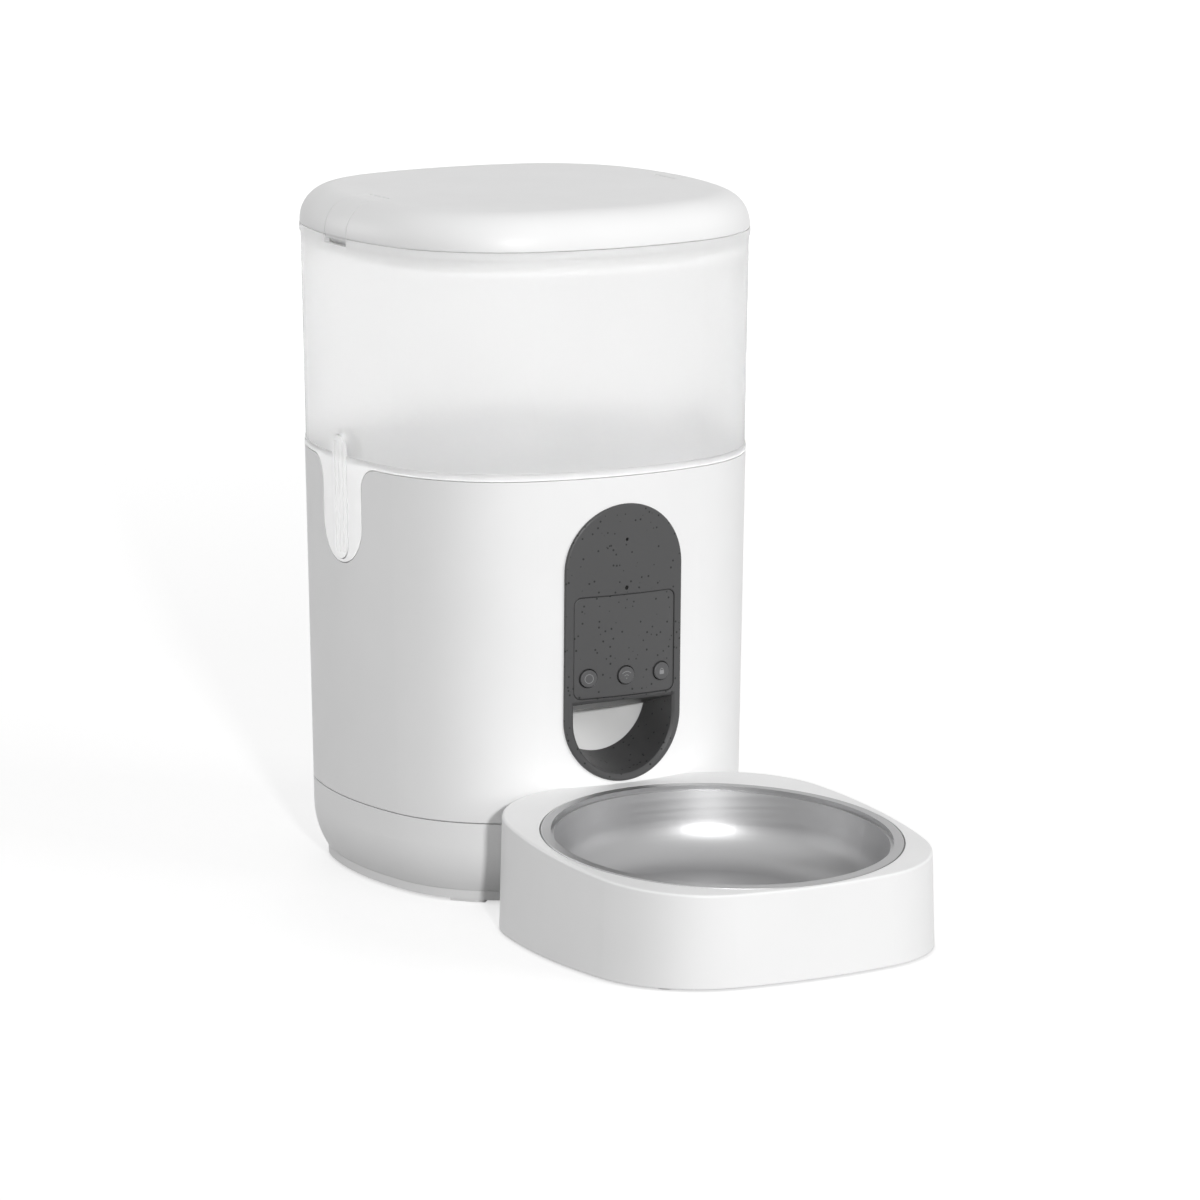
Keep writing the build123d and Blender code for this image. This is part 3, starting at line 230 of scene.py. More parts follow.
class Sheet(Board):
    """Node sheet of one finish: a Principled shader fed from Object coordinates."""

    def __init__(self, name: str) -> None:
        """Start an empty sheet.

        Args:
            name: Name of the material.
        """
        self.material = bpy.data.materials.new(name)
        self.material.use_nodes = True
        super().__init__(self.material.node_tree)
        self.shader = self.add("ShaderNodeBsdfPrincipled")
        self.wire(self.add("ShaderNodeOutputMaterial"), surface=self.shader.outputs["BSDF"])

    def set(self, **inputs: object) -> None:
        """Feed the shader's inputs, with sockets or constants."""
        self.wire(self.shader, **inputs)

    def place(self, centre: Place = (0, 0, 0), turn: Place = (0, 0, 0), scale: Place = (1, 1, 1)) -> Socket:
        """Object coordinates seen from a place on the feeder.

        Args:
            centre: The pattern's middle, in metres.
            turn: The pattern's turn, in radians.
            scale: Stretch along each axis.

        Returns:
            The vector socket.
        """
        mapping = self.add("ShaderNodeMapping", vector_type="TEXTURE")
        self.wire(mapping, vector=self.coords(), location=centre, rotation=turn, scale=scale)
        return mapping.outputs["Vector"]

    def along(self, where: Socket, axis: Axis) -> Socket:
        """Read one axis of a vector."""
        return self.wire(self.add("ShaderNodeSeparateXYZ"), vector=where).outputs[axis.value]

    def noise(self, where: Socket, scale: float, detail: float = 2.0, roughness: float = 0.5) -> Socket:
        """Soft cloudy noise.

        Args:
            where: Vector socket.
            scale: Features in a metre.
            detail: Finer layers on top.
            roughness: Weight of the finer layers.

        Returns:
            The noise, from 0 to 1.
        """
        node = self.add("ShaderNodeTexNoise")
        self.wire(node, vector=where, scale=scale, detail=detail, roughness=roughness)
        return node.outputs["Fac"]

    def cells(self, where: Socket, scale: float, **settings: object) -> bpy.types.Node:
        """Scatter cells, so many in a metre, by a Voronoi node with these settings."""
        return self.wire(self.add("ShaderNodeTexVoronoi", **settings), vector=where, scale=scale)

    def specks(self, where: Socket, scale: float, radius: float, share: float, core: float = 0.6) -> Socket:
        """Sparse round specks.

        Args:
            where: Vector socket.
            scale: Cells in a metre.
            radius: Speck radius, in cells.
            share: Part of the cells that hold a speck.
            core: Part of the radius that is solid.

        Returns:
            1 inside a speck, 0 elsewhere.
        """
        cells = self.cells(where, scale)
        parts = self.wire(self.add("ShaderNodeSeparateColor"), color=cells.outputs["Color"])
        near = self.spread(cells.outputs["Distance"], 1.0, 0.0, radius * core, radius)
        held = self.sums("LESS_THAN", parts.outputs["Red"], share)
        return self.sums("MULTIPLY", near, held)

    def tint(self, value: Socket, low: Colour | Socket, high: Colour | Socket) -> Socket:
        """Blend two colours.

        Args:
            value: 0 gives low, 1 gives high.
            low: Colour or socket.
            high: Colour or socket.

        Returns:
            The colour.
        """
        node = self.wire(self.add("ShaderNodeMix", data_type="RGBA"), factor=value)
        for key, colour in ((6, low), (7, high)):  # the Mix node's two colour sockets
            if isinstance(colour, tuple):
                node.inputs[key].default_value = (*colour, 1.0)
            else:
                self.join(colour, node.inputs[key])
        return node.outputs[2]

    def colours(self, value: Socket, low: Colour | Socket, high: Colour | Socket) -> None:
        """Blend the base colour, from low where the value is 0 to high where it is 1."""
        self.set(base_color=self.tint(value, low, high))

    def matt(self, value: Socket, middle: float, stray: Span) -> None:
        """Let the roughness stray below and above its middle."""
        self.set(roughness=self.spread(value, middle - stray[0], middle + stray[1]))

    def rounded(self, radius: float) -> Socket:
        """Normal of a piece whose sharp edges are broken by a small round."""
        return self.wire(self.add("ShaderNodeBevel", samples=6), radius=radius).outputs["Normal"]

    def relief(self, height: Socket, depth: float, strength: float = 1.0,
               below: Socket | None = None) -> Socket:
        """Bump from a height.

        Args:
            height: Height, from 0 to 1.
            depth: What 1 stands for, in metres.
            strength: Share of it that shows.
            below: Normal of a coarser relief underneath.

        Returns:
            The normal.
        """
        node = self.wire(self.add("ShaderNodeBump"), height=height, strength=strength, distance=depth)
        if below is not None:
            self.wire(node, normal=below)
        return node.outputs["Normal"]


@dataclass(frozen=True)
class Coat(ABC):
    """A finish. Scales are features in a metre, and depths are in metres."""

    def make(self, name: str) -> Material:
        """Build the material.

        Args:
            name: Name of the material.

        Returns:
            The material.
        """
        sheet = Sheet(name)
        self.paint(sheet)
        return sheet.material

    @abstractmethod
    def paint(self, sheet: Sheet) -> None:
        """Lay the finish out on its sheet."""


@dataclass(frozen=True)
class MouldedPlastic(Coat):
    """Injection-moulded plastic with the mould's grain."""

    colour: Colour
    roughness: float = 0.42
    grain: Grain = Grain.SATIN
    mottle: float = 0.012
    edge: float = 0.0
    cloud: float = 24.0
    smear: float = 85.0
    stray: Span = (0.04, 0.04)
    bend: float = 1.47

    def paint(self, sheet: Sheet) -> None:
        """Lay out the faint mottle, the smears and the grain.

        Args:
            sheet: The finish's sheet.
        """
        where = sheet.place()
        cloud = sheet.spread(sheet.noise(where, self.cloud, detail=3.0), 0.0, 1.0)
        sheet.colours(cloud, shade(self.colour, 1 - self.mottle), shade(self.colour, 1 + self.mottle))
        smear = sheet.noise(where, self.smear, detail=4.0, roughness=0.6)
        sheet.matt(smear, self.roughness, self.stray)
        scale, depth = self.grain.value
        below = sheet.rounded(self.edge) if self.edge else None
        sheet.set(normal=sheet.relief(sheet.noise(where, scale, detail=1.0), depth, below=below))
        sheet.set(IOR=self.bend)


@dataclass(frozen=True)
class FrostedPlastic(Coat):
    """Milky see-through plastic with a blasted face, thicker and milkier at its foot and its rim."""

    colour: Colour
    roughness: float = 0.5
    clear: float = 0.92
    milky: float = 0.2
    hazy: float = 0.55
    foot: Span = (0.19, 0.194)
    rim: Span = (0.2785, 0.2825)
    bend: float = 1.1
    thin: Span = (0.905, 0.92)
    cloud: float = 16.0
    blast: float = 3200.0
    blast_depth: float = 0.016 * MM
    stray: Span = (0.05, 0.05)

    def paint(self, sheet: Sheet) -> None:
        """Lay out the blasted face, and how much each height lets through.

        Args:
            sheet: The finish's sheet.
        """
        where = sheet.place()
        height = sheet.along(where, Axis.Z)
        cloud = sheet.spread(sheet.noise(where, self.cloud, detail=3.0), 0.0, 1.0)
        thin = sheet.tint(cloud, *(shade(self.colour, share) for share in self.thin))
        sheet.colours(sheet.spread(height, 0.0, 1.0, *self.foot), self.colour, thin)
        blast = sheet.noise(where, self.blast)
        sheet.matt(blast, self.roughness, self.stray)
        sheet.set(normal=sheet.relief(blast, self.blast_depth))
        low = sheet.spread(height, self.milky, self.clear, *self.foot)
        high = sheet.spread(height, self.clear, self.hazy, *self.rim)
        sheet.set(transmission_weight=sheet.sums("MINIMUM", low, high))
        sheet.set(IOR=self.bend, coat_weight=0.2, coat_roughness=0.4)


@dataclass(frozen=True)
class SpeckledPlastic(Coat):
    """Dark moulded plastic with sparse darker specks in its paint."""

    colour: Colour
    speck: Colour
    roughness: float = 0.4
    share: float = 0.9
    edge: float = 0.8 * MM
    light: float = 1.06
    cloud: float = 30.0
    speck_cells: float = 340.0
    speck_radius: float = 0.2
    speck_depth: float = 0.03 * MM
    blast: float = 3800.0
    blast_depth: float = 0.014 * MM
    stray: Span = (0.05, 0.05)
    bend: float = 1.48

    def paint(self, sheet: Sheet) -> None:
        """Lay out the paint, its specks and the blasted face.

        Args:
            sheet: The finish's sheet.
        """
        where = sheet.place()
        cloud = sheet.spread(sheet.noise(where, self.cloud, detail=3.0), 0.0, 1.0)
        paint = sheet.tint(cloud, self.colour, shade(self.colour, self.light))
        specks = sheet.specks(where, self.speck_cells, self.speck_radius, self.share)
        sheet.colours(specks, paint, self.speck)
        blast = sheet.noise(where, self.blast)
        sheet.matt(blast, self.roughness, self.stray)
        fine = sheet.relief(blast, self.blast_depth, below=sheet.rounded(self.edge))
        pits = sheet.sums("MULTIPLY", specks, -1.0)
        sheet.set(normal=sheet.relief(pits, self.speck_depth, below=fine), IOR=self.bend)


@dataclass(frozen=True)
class SpunSteel(Coat):
    """Satin stainless steel with the fine rings of spinning and polishing."""

    colour: Colour
    centre: Place
    tilt: float
    roughness: float = 0.3
    dark: float = 0.965
    rings: float = 2600.0
    ring_depth: float = 0.0012 * MM
    ring_share: float = 0.6
    cloud: float = 40.0
    stray: Span = (0.03, 0.04)

    def paint(self, sheet: Sheet) -> None:
        """Lay out the rings round the middle, and a faint cloud.

        Args:
            sheet: The finish's sheet.
        """
        where = sheet.place(self.centre, (self.tilt, 0, 0))
        flat = sheet.add("ShaderNodeVectorMath", operation="MULTIPLY")
        flat.inputs[1].default_value = (1, 1, 0)
        sheet.join(where, flat.inputs[0])
        rings = sheet.add("ShaderNodeTexNoise", noise_dimensions="1D")
        sheet.wire(rings, W=sheet.reach(flat.outputs["Vector"]), scale=self.rings, detail=3.0)
        ring = rings.outputs["Fac"]
        cloud = sheet.noise(where, self.cloud, detail=3.0)
        tone = sheet.sums("ADD", sheet.spread(ring, 0.0, self.ring_share),
                          sheet.spread(cloud, 0.0, 1 - self.ring_share))
        sheet.colours(tone, shade(self.colour, self.dark), self.colour)
        sheet.matt(ring, self.roughness, self.stray)
        sheet.set(normal=sheet.relief(ring, self.ring_depth), metallic=1.0)


@dataclass(frozen=True)
class DrawnMetal(Coat):
    """Drawn or turned metal with fine lines along one axis."""

    colour: Colour
    roughness: float = 0.28
    run: Place = (1, 1, 12)
    dark: float = 0.9
    lines: float = 3000.0
    line_depth: float = 0.004 * MM
    stray: Span = (0.06, 0.08)

    def paint(self, sheet: Sheet) -> None:
        """Lay out the lines.

        Args:
            sheet: The finish's sheet.
        """
        lines = sheet.noise(sheet.place(scale=self.run), self.lines, detail=3.0)
        sheet.colours(sheet.spread(lines, 0.0, 1.0), shade(self.colour, self.dark), self.colour)
        sheet.matt(lines, self.roughness, self.stray)
        sheet.set(normal=sheet.relief(lines, self.line_depth), metallic=1.0)


@dataclass(frozen=True)
class SoftRubber(Coat):
    """Rubber or silicone with a dry, faintly dusty face."""

    colour: Colour
    roughness: float = 0.6
    clearness: float = 0.0
    dust: float = 420.0
    dusty: Span = (0.45, 0.75)
    pale: float = 1.1
    pale_lift: float = 0.012
    grain: float = 1800.0
    grain_depth: float = 0.02 * MM
    stray: Span = (0.08, 0.08)

    def paint(self, sheet: Sheet) -> None:
        """Lay out the dust and the grain.

        Args:
            sheet: The finish's sheet.
        """
        where = sheet.place()
        dust = sheet.noise(where, self.dust, detail=4.0, roughness=0.65)
        pale = shade(self.colour, self.pale, self.pale_lift)
        sheet.colours(sheet.spread(dust, 0.0, 1.0, *self.dusty), self.colour, pale)
        sheet.matt(dust, self.roughness, self.stray)
        sheet.set(normal=sheet.relief(sheet.noise(where, self.grain), self.grain_depth))
        sheet.set(IOR=1.42, transmission_weight=self.clearness, sheen_weight=0.08)


@dataclass(frozen=True)
class BoardMask(Coat):
    """Circuit board: green mask over copper tracks."""

    mask: Colour = (0.012, 0.085, 0.04)
    track: Colour = (0.03, 0.15, 0.07)
    cells: float = 320.0
    stretch: Place = (1, 4, 1)
    track_edge: Span = (0.62, 0.7)
    track_depth: float = 0.02 * MM

    def paint(self, sheet: Sheet) -> None:
        """Lay out the tracks.

        Args:
            sheet: The finish's sheet.
        """
        cells = sheet.cells(sheet.place(scale=self.stretch), self.cells, distance="MANHATTAN", feature="F2")
        lines = sheet.spread(cells.outputs["Distance"], 0.0, 1.0, *self.track_edge)
        sheet.colours(lines, self.mask, self.track)
        sheet.set(normal=sheet.relief(lines, self.track_depth), roughness=0.3, coat_weight=0.4)


@dataclass(frozen=True)
class CellJacket(Coat):
    """Plain shrunk jacket of a round cell: dark, with a copper-coloured band at its positive end."""

    jacket: Colour = (0.02, 0.022, 0.026)
    band: Colour = (0.55, 0.27, 0.11)
    band_edge: Span = (0.112, 0.1122)
    pull: float = 260.0
    pull_depth: float = 0.02 * MM
    roughness: float = 0.29
    stray: Span = (0.07, 0.07)

    def paint(self, sheet: Sheet) -> None:
        """Lay out the band and the pull of the shrunk film.

        Args:
            sheet: The finish's sheet.
        """
        where = sheet.place()
        end = sheet.spread(sheet.along(where, Axis.Y), 0.0, 1.0, *self.band_edge)
        sheet.colours(end, self.jacket, self.band)
        pull = sheet.noise(where, self.pull, detail=3.0)
        sheet.matt(pull, self.roughness, self.stray)
        sheet.set(normal=sheet.relief(pull, self.pull_depth), coat_weight=0.3)


@dataclass(frozen=True)
class ClearGuide(Coat):
    """Smoked moulded light guide, dark while no light comes through it."""

    colour: Colour
    dim: float = 0.96
    flow: float = 500.0
    roughness: float = 0.3
    stray: Span = (0.04, 0.04)

    def paint(self, sheet: Sheet) -> None:
        """Lay out the flow of the moulding.

        Args:
            sheet: The finish's sheet.
        """
        flow = sheet.noise(sheet.place(), self.flow)
        sheet.colours(flow, shade(self.colour, self.dim), self.colour)
        sheet.matt(flow, self.roughness, self.stray)
        sheet.set(IOR=1.3, transmission_weight=0.85)


@dataclass(frozen=True)
class WovenPaper(Coat):
    """Breathing paper of the drying sachet, with its fine weave."""

    colour: Colour = (0.82, 0.8, 0.74)
    dark: float = 0.86
    thread: float = 1500.0
    thread_depth: float = 0.05 * MM
    wander: float = 0.6
    fibre: float = 700.0
    weave_least: float = 0.4
    fibre_least: float = 0.7

    def paint(self, sheet: Sheet) -> None:
        """Lay out the weave and its fibres.

        Args:
            sheet: The finish's sheet.
        """
        where = sheet.place()
        threads = []
        for axis in (Axis.X, Axis.Y):
            thread = sheet.add("ShaderNodeTexWave", bands_direction=axis.value)
            sheet.wire(thread, vector=where, scale=self.thread / math.tau * 2, distortion=self.wander)
            threads.append(thread.outputs["Fac"])
        weave = sheet.sums("MULTIPLY", *threads)
        fibre = sheet.noise(where, self.fibre, detail=4.0, roughness=0.7)
        tone = sheet.sums("MULTIPLY", sheet.spread(weave, self.weave_least, 1.0, 0.0, 1.0),
                          sheet.spread(fibre, self.fibre_least, 1.0))
        sheet.colours(tone, shade(self.colour, self.dark), self.colour)
        sheet.set(normal=sheet.relief(weave, self.thread_depth, strength=0.8))
        sheet.set(roughness=0.85, sheen_weight=0.15)


class Finish(Enum):
    """Every finish on the feeder. The names are the record's material slots."""

    white_shell = MouldedPlastic((0.87, 0.87, 0.87), edge=0.5 * MM)
    white_inner = MouldedPlastic((0.8, 0.8, 0.795), 0.5)
    grey_ring = MouldedPlastic((0.78, 0.78, 0.78), 0.5, Grain.BLASTED)
    frosted = FrostedPlastic((0.985, 0.985, 0.985))
    frosted_catch = FrostedPlastic((0.985, 0.985, 0.985), 0.4, 0.3)
    dark_panel = SpeckledPlastic((0.062, 0.062, 0.063), (0.005, 0.006, 0.006))
    dark_plate = SpeckledPlastic((0.065, 0.065, 0.066), (0.005, 0.006, 0.006))
    dark_button = MouldedPlastic((0.085, 0.085, 0.087), 0.4, Grain.BLASTED, 0.05)
    black_plastic = MouldedPlastic((0.02, 0.02, 0.021), 0.45, Grain.BLASTED, 0.1)
    circuit_board = BoardMask()
    clear_guide = ClearGuide((0.004, 0.0042, 0.0045))
    steel_part = DrawnMetal((0.6, 0.6, 0.61))
    brass_part = DrawnMetal((0.7, 0.5, 0.22), 0.24)
    gear_plastic = MouldedPlastic((0.76, 0.74, 0.68), 0.38, Grain.POLISHED)
    cell = CellJacket()
    silicone = SoftRubber((0.86, 0.86, 0.85), 0.5, 0.3)
    rubber = SoftRubber((0.78, 0.78, 0.775))
    fabric_bag = WovenPaper()
    satin_steel = SpunSteel((0.53, 0.53, 0.535), (0, -0.0956, 0.03), math.radians(4.1), 0.42)


class Wardrobe:
    """Makes each finish once and puts it on the pieces."""

    def __init__(self) -> None:
        """Make every finish."""
        self.made = {finish: finish.value.make(finish.name) for finish in Finish}

    def dress(self, piece: Piece, finish: Finish, ink: Material | None = None) -> None:
        """Put a finish on a new piece.

        Args:
            piece: The piece.
            finish: Its finish.
            ink: Material that shows in its place.
        """
        piece.data.materials.clear()
        piece.data.materials.append(ink or self.made[finish])

    def dress_node(self, name: str, node: Piece) -> None:
        """Put the record's finish on a CAD node.

        Args:
            name: The node's name.
            node: Its object.
        """
        for slot in node.material_slots:
            finish = Finish[slot.material.name.split(".")[0]]
            slot.material = self.made[finish]
            LOG.info("%s dressed in %s", name, finish.name)


class Bench:
    """Modelling bench: a piece starts as a primitive and is shaped with operators."""

    @staticmethod
    def clear() -> None:
        """Leave edit mode and deselect everything."""
        active = bpy.context.view_layer.objects.active
        if active is not None and active.mode != "OBJECT":
            bpy.ops.object.mode_set(mode="OBJECT")
        bpy.ops.object.select_all(action="DESELECT")

    @staticmethod
    def hold(piece: Piece) -> None:
        """Select one piece alone, and make it the active one.

        Args:
            piece: The piece.
        """
        Bench.clear()
        bpy.context.view_layer.objects.active = piece
        piece.select_set(True)

    @staticmethod
    def start(name: str, add: Callable[..., set[str]], stretch: Place = (1, 1, 1),
              **settings: object) -> Piece:
        """Start a piece as a primitive, and put its size and place into its mesh.

        Args:
            name: Name of the piece.
            add: The primitive's operator.
            stretch: Stretch along the primitive's own axes.
            settings: What the operator is told.

        Returns:
            The piece.
        """
        Bench.clear()
        add(**settings)
        piece = bpy.context.active_object
        piece.name = name
        piece.data.name = name
        piece.scale = stretch
        bpy.ops.object.transform_apply(location=True, rotation=True, scale=True)
        return piece

    @staticmethod
    def edit(piece: Piece, kind: Pick, everything: bool = False) -> None:
        """Enter edit mode.

        Args:
            piece: The piece to shape.
            kind: What will be picked.
            everything: Whether all is selected, or nothing.
        """
        Bench.hold(piece)
        bpy.ops.object.mode_set(mode="EDIT")
        bpy.ops.mesh.select_mode(type=kind.value)
        bpy.ops.mesh.select_all(action="SELECT" if everything else "DESELECT")

    @staticmethod
    def pick(piece: Piece, kind: Pick, test: Callable[..., bool]) -> None:
        """Select points, edges or faces in edit mode.

        Args:
            piece: The piece in edit mode.
            kind: What is picked.
            test: Says yes or no to a point, an edge's two ends, or a face's middle and normal.
        """
        bpy.ops.mesh.select_mode(type=kind.value)
        mesh = bmesh.from_edit_mesh(piece.data)
        if kind is Pick.POINT:
            found = [(point, (point.co,)) for point in mesh.verts]
        elif kind is Pick.EDGE:
            found = [(edge, tuple(end.co for end in edge.verts)) for edge in mesh.edges]
        else:
            found = [(face, (face.calc_center_median(), face.normal)) for face in mesh.faces]
        for item, spots in found:
            item.select_set(test(*spots))
        bmesh.update_edit_mesh(piece.data)

    @staticmethod
    def push(by: Place) -> None:
        """Extrude the selected faces."""
        bpy.ops.mesh.extrude_region_move(TRANSFORM_OT_translate={"value": by})

    @staticmethod
    def finish(piece: Piece, angle: float = 35.0) -> Piece:
        """Leave edit mode and smooth the round faces.

        Args:
            piece: The piece.
            angle: Edges sharper than this stay sharp, in degrees.

        Returns:
            The piece.
        """
        Bench.hold(piece)
        bpy.ops.object.shade_smooth_by_angle(angle=math.radians(angle))
        Bench.clear()
        return piece

    @staticmethod
    def modify(piece: Piece, kind: str, **settings: object) -> None:
        """Add a modifier and apply it.

        Args:
            piece: The piece.
            kind: Blender's name of the modifier.
            settings: Properties to set on it.
        """
        Bench.hold(piece)
        modifier = piece.modifiers.new(kind.lower(), kind)
        for key, value in settings.items():
            setattr(modifier, key, value)
        bpy.ops.object.modifier_apply(modifier=modifier.name)

    @staticmethod
    def unite(name: str, parts: Sequence[Piece]) -> Piece:
        """Join parts into one piece.

        Args:
            name: Name of the piece.
            parts: The parts; the first one takes the others in.

        Returns:
            The piece.
        """
        Bench.clear()
        for part in parts:
            part.select_set(True)
        bpy.context.view_layer.objects.active = parts[0]
        bpy.ops.object.join()
        parts[0].name = name
        parts[0].data.name = name
        return parts[0]


@dataclass
class StarScrew:
    """Pan-head screw with a six-lobed recess, modelled once and copied."""

    head_radius: float = 2.7 * MM
    head_height: float = 1.4 * MM
    head_round: float = 0.7 * MM
    head_sides: int = 24
    recess_radius: float = 1.35 * MM
    recess_depth: float = 0.9 * MM
    recess_lobes: int = 6
    recess_dips: tuple[tuple[float, float, float], ...] = ((-1.1, -0.6, 0.7), (-0.6, 0.4, 0.86))

    def build(self) -> Piece:
        """Model the head, standing on the floor with its recess up.

        Each dip draws in the part of the recess's edge whose lobe wave lies from low to high.

        Returns:
            The pattern screw.
        """
        top = self.head_height
        edge = self.recess_radius + NEAR
        screw = Bench.start("screw", bpy.ops.mesh.primitive_cylinder_add, vertices=self.head_sides,
                            radius=self.head_radius, depth=top, location=(0, 0, top / 2))
        Bench.edit(screw, Pick.EDGE)
        Bench.pick(screw, Pick.EDGE, lambda a, b: min(a.z, b.z) > top * LEVEL)
        bpy.ops.mesh.bevel(offset=self.head_round, segments=4)
        Bench.pick(screw, Pick.FACE, lambda c, n: n.z > LEVEL and c.xy.length < NEAR)
        bpy.ops.mesh.inset(thickness=self.head_radius - self.head_round - self.recess_radius)
        for low, high, scale in self.recess_dips:
            Bench.pick(screw, Pick.POINT, lambda p: p.xy.length < edge and p.z > top * LEVEL
                       and low <= math.cos(self.recess_lobes * math.atan2(p.y, p.x)) < high)
            bpy.ops.transform.resize(value=(scale, scale, 1), center_override=(0, 0, top))
        Bench.pick(screw, Pick.FACE, lambda c, n: n.z > LEVEL and c.xy.length < NEAR)
        Bench.push((0, 0, -self.recess_depth))
        return Bench.finish(screw)

    def fit(self, wardrobe: Wardrobe, places: dict[str, Matrix], body: str) -> None:
        """Put a copy of the screw at each place, with its own mesh.

        Args:
            wardrobe: The finishes.
            places: Name and place of each screw.
            body: What they ride on.
        """
        pattern = self.build()
        for name, place in places.items():
            screw = bpy.data.objects.new(name, pattern.data.copy())
            screw.data.name = name
            screw.data.transform(place)
            bpy.context.scene.collection.objects.link(screw)
            wardrobe.dress(screw, Finish.steel_part)
            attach(screw, body)
            LOG.info("%s fitted", name)
        bpy.data.objects.remove(pattern)


@dataclass
class Housing:
    """Base and deck of the housing: the screws under the one and on the other."""

    screw: StarScrew = field(default_factory=StarScrew)
    base_x: float = 68.0 * MM
    base_y: float = 44.0 * MM
    deck_x: float = 58.0 * MM
    deck_y: float = 46.0 * MM

    def build(self, wardrobe: Wardrobe) -> None:
        """Fit the screws.

        Args:
            wardrobe: The finishes.
        """
        low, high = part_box("base_shell")
        deck_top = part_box("deck")[1].z
        middle = (low.y + high.y) / 2
        down = Matrix.Rotation(math.pi, 4, "X")
        places = {}
        for side, row in product(Side, Row):
            corner = f"{row.name}_{side.name}".lower()
            under = Vector((side.value * self.base_x, middle + row.value * self.base_y, low.z))
            places[f"base_screw_{corner}"] = Matrix.Translation(under) @ down
            above = Vector((side.value * self.deck_x, middle + row.value * self.deck_y, deck_top))
            places[f"deck_screw_{corner}"] = Matrix.Translation(above)
        self.screw.fit(wardrobe, places, "housing")


@dataclass
class FrontPanel:
    """Dark panel with its buttons: the marks on the buttons."""

    ink: Coat = MouldedPlastic((0.26, 0.26, 0.265), 0.45, Grain.POLISHED)
    stand_off: float = 2.0 * MM
    mark_radius: float = 2.1 * MM
    mark_line: float = 0.26 * MM
    mark_rise: float = 0.05 * MM
    wave_foot: float = 0.62
    wave_dot: float = 0.95
    dot_sides: int = 20
    wave_radii: Span = (0.78, 1.5)
    wave_lean: Span = (0.72, 0.69)
    lock_width: float = 2.3 * MM
    lock_height: float = 1.7 * MM
    lock_drop: float = 0.55 * MM
    lock_round: float = 0.35 * MM
    bow_share: float = 0.4
    bow_rise: float = 0.35 * MM
    bow_cut: float = 0.3 * MM

    def disc(self, name: str, centre: Place, radius: float, sides: int = 48) -> Piece:
        """Model a flat disc that faces the front."""
        return Bench.start(name, bpy.ops.mesh.primitive_circle_add, vertices=sides, radius=radius,
                           fill_type="NGON", location=centre, rotation=TO_FRONT)

    def ring(self, name: str, centre: Place, radius: float) -> Piece:
        """Model a flat ring that faces the front.

        Args:
            name: Name of the piece.
            centre: Middle.
            radius: Outer radius.

        Returns:
            The ring.
        """
        ring = self.disc(name, centre, radius)
        Bench.edit(ring, Pick.FACE, everything=True)
        bpy.ops.mesh.inset(thickness=self.mark_line)
        bpy.ops.mesh.delete(type="FACE")
        Bench.clear()
        return ring

    def cut(self, piece: Piece, spot: Place, normal: Place) -> None:
        """Bisect a flat mark and keep what lies along the normal.

        Args:
            piece: The mark.
            spot: Point on the cut.
            normal: Direction of the part that stays.
        """
        Bench.edit(piece, Pick.FACE, everything=True)
        bpy.ops.mesh.bisect(plane_co=spot, plane_no=normal, clear_inner=True)
        Bench.clear()

    def waves(self, name: str, centre: Place) -> Piece:
        """Model two arcs over a dot.

        Args:
            name: Name of the piece.
            centre: Middle of the button.

        Returns:
            The mark.
        """
        x, y, z = centre
        foot = (x, y, z - self.mark_radius * self.wave_foot)
        parts = [self.disc(name, foot, self.mark_line * self.wave_dot, self.dot_sides)]
        across, up = self.wave_lean
        for radius in self.wave_radii:
            arc = self.ring(f"{name}_arc", foot, self.mark_radius * radius)
            for sign in (-1, 1):
                self.cut(arc, foot, (sign * across, 0, up))
            parts.append(arc)
        return Bench.unite(name, parts)

    def lock(self, name: str, centre: Place) -> Piece:
        """Model a small padlock.

        Args:
            name: Name of the piece.
            centre: Middle of the button.

        Returns:
            The mark.
        """
        x, y, z = centre
        case = Bench.start(name, bpy.ops.mesh.primitive_plane_add, (self.lock_width, self.lock_height, 1),
                           size=1, location=(x, y, z - self.lock_drop), rotation=TO_FRONT)
        Bench.edit(case, Pick.POINT, everything=True)
        bpy.ops.mesh.bevel(offset=self.lock_round, segments=4, affect="VERTICES")
        Bench.clear()
        bow = self.ring(f"{name}_bow", (x, y, z + self.bow_rise), self.lock_width * self.bow_share)
        self.cut(bow, (x, y, z + self.bow_cut), (0, 0, 1))
        return Bench.unite(name, [case, bow])

    def lay(self, mark: Piece, node: str) -> None:
        """Lay a flat mark on the face of its button and give it its thickness.

        Args:
            mark: The mark.
            node: The button's node.
        """
        Bench.edit(mark, Pick.FACE, everything=True)
        bpy.ops.mesh.quads_convert_to_tris()
        bpy.ops.mesh.subdivide(number_cuts=1)
        Bench.clear()
        Bench.modify(mark, "SHRINKWRAP", target=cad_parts[node], wrap_method="PROJECT",
                     use_project_y=True, use_negative_direction=True, use_positive_direction=True, offset=0.0)
        Bench.modify(mark, "SOLIDIFY", thickness=self.mark_rise, offset=0.0)
        Bench.finish(mark)

    def build(self, wardrobe: Wardrobe) -> None:
        """Mark the three buttons.

        Args:
            wardrobe: The finishes.
        """
        ink = self.ink.make("button_ink")
        for icon in Icon:
            node = f"button_{icon.value}"
            name = f"button_mark_{icon.value}"
            low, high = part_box(node)
            centre = ((low.x + high.x) / 2, low.y - self.stand_off, (low.z + high.z) / 2)
            if icon is Icon.RING:
                mark = self.ring(name, centre, self.mark_radius)
            elif icon is Icon.WAVES:
                mark = self.waves(name, centre)
            else:
                mark = self.lock(name, centre)
            self.lay(mark, node)
            wardrobe.dress(mark, Finish.dark_button, ink)
            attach(mark, f"key_{icon.value}")
            LOG.info("%s laid on %s", name, node)


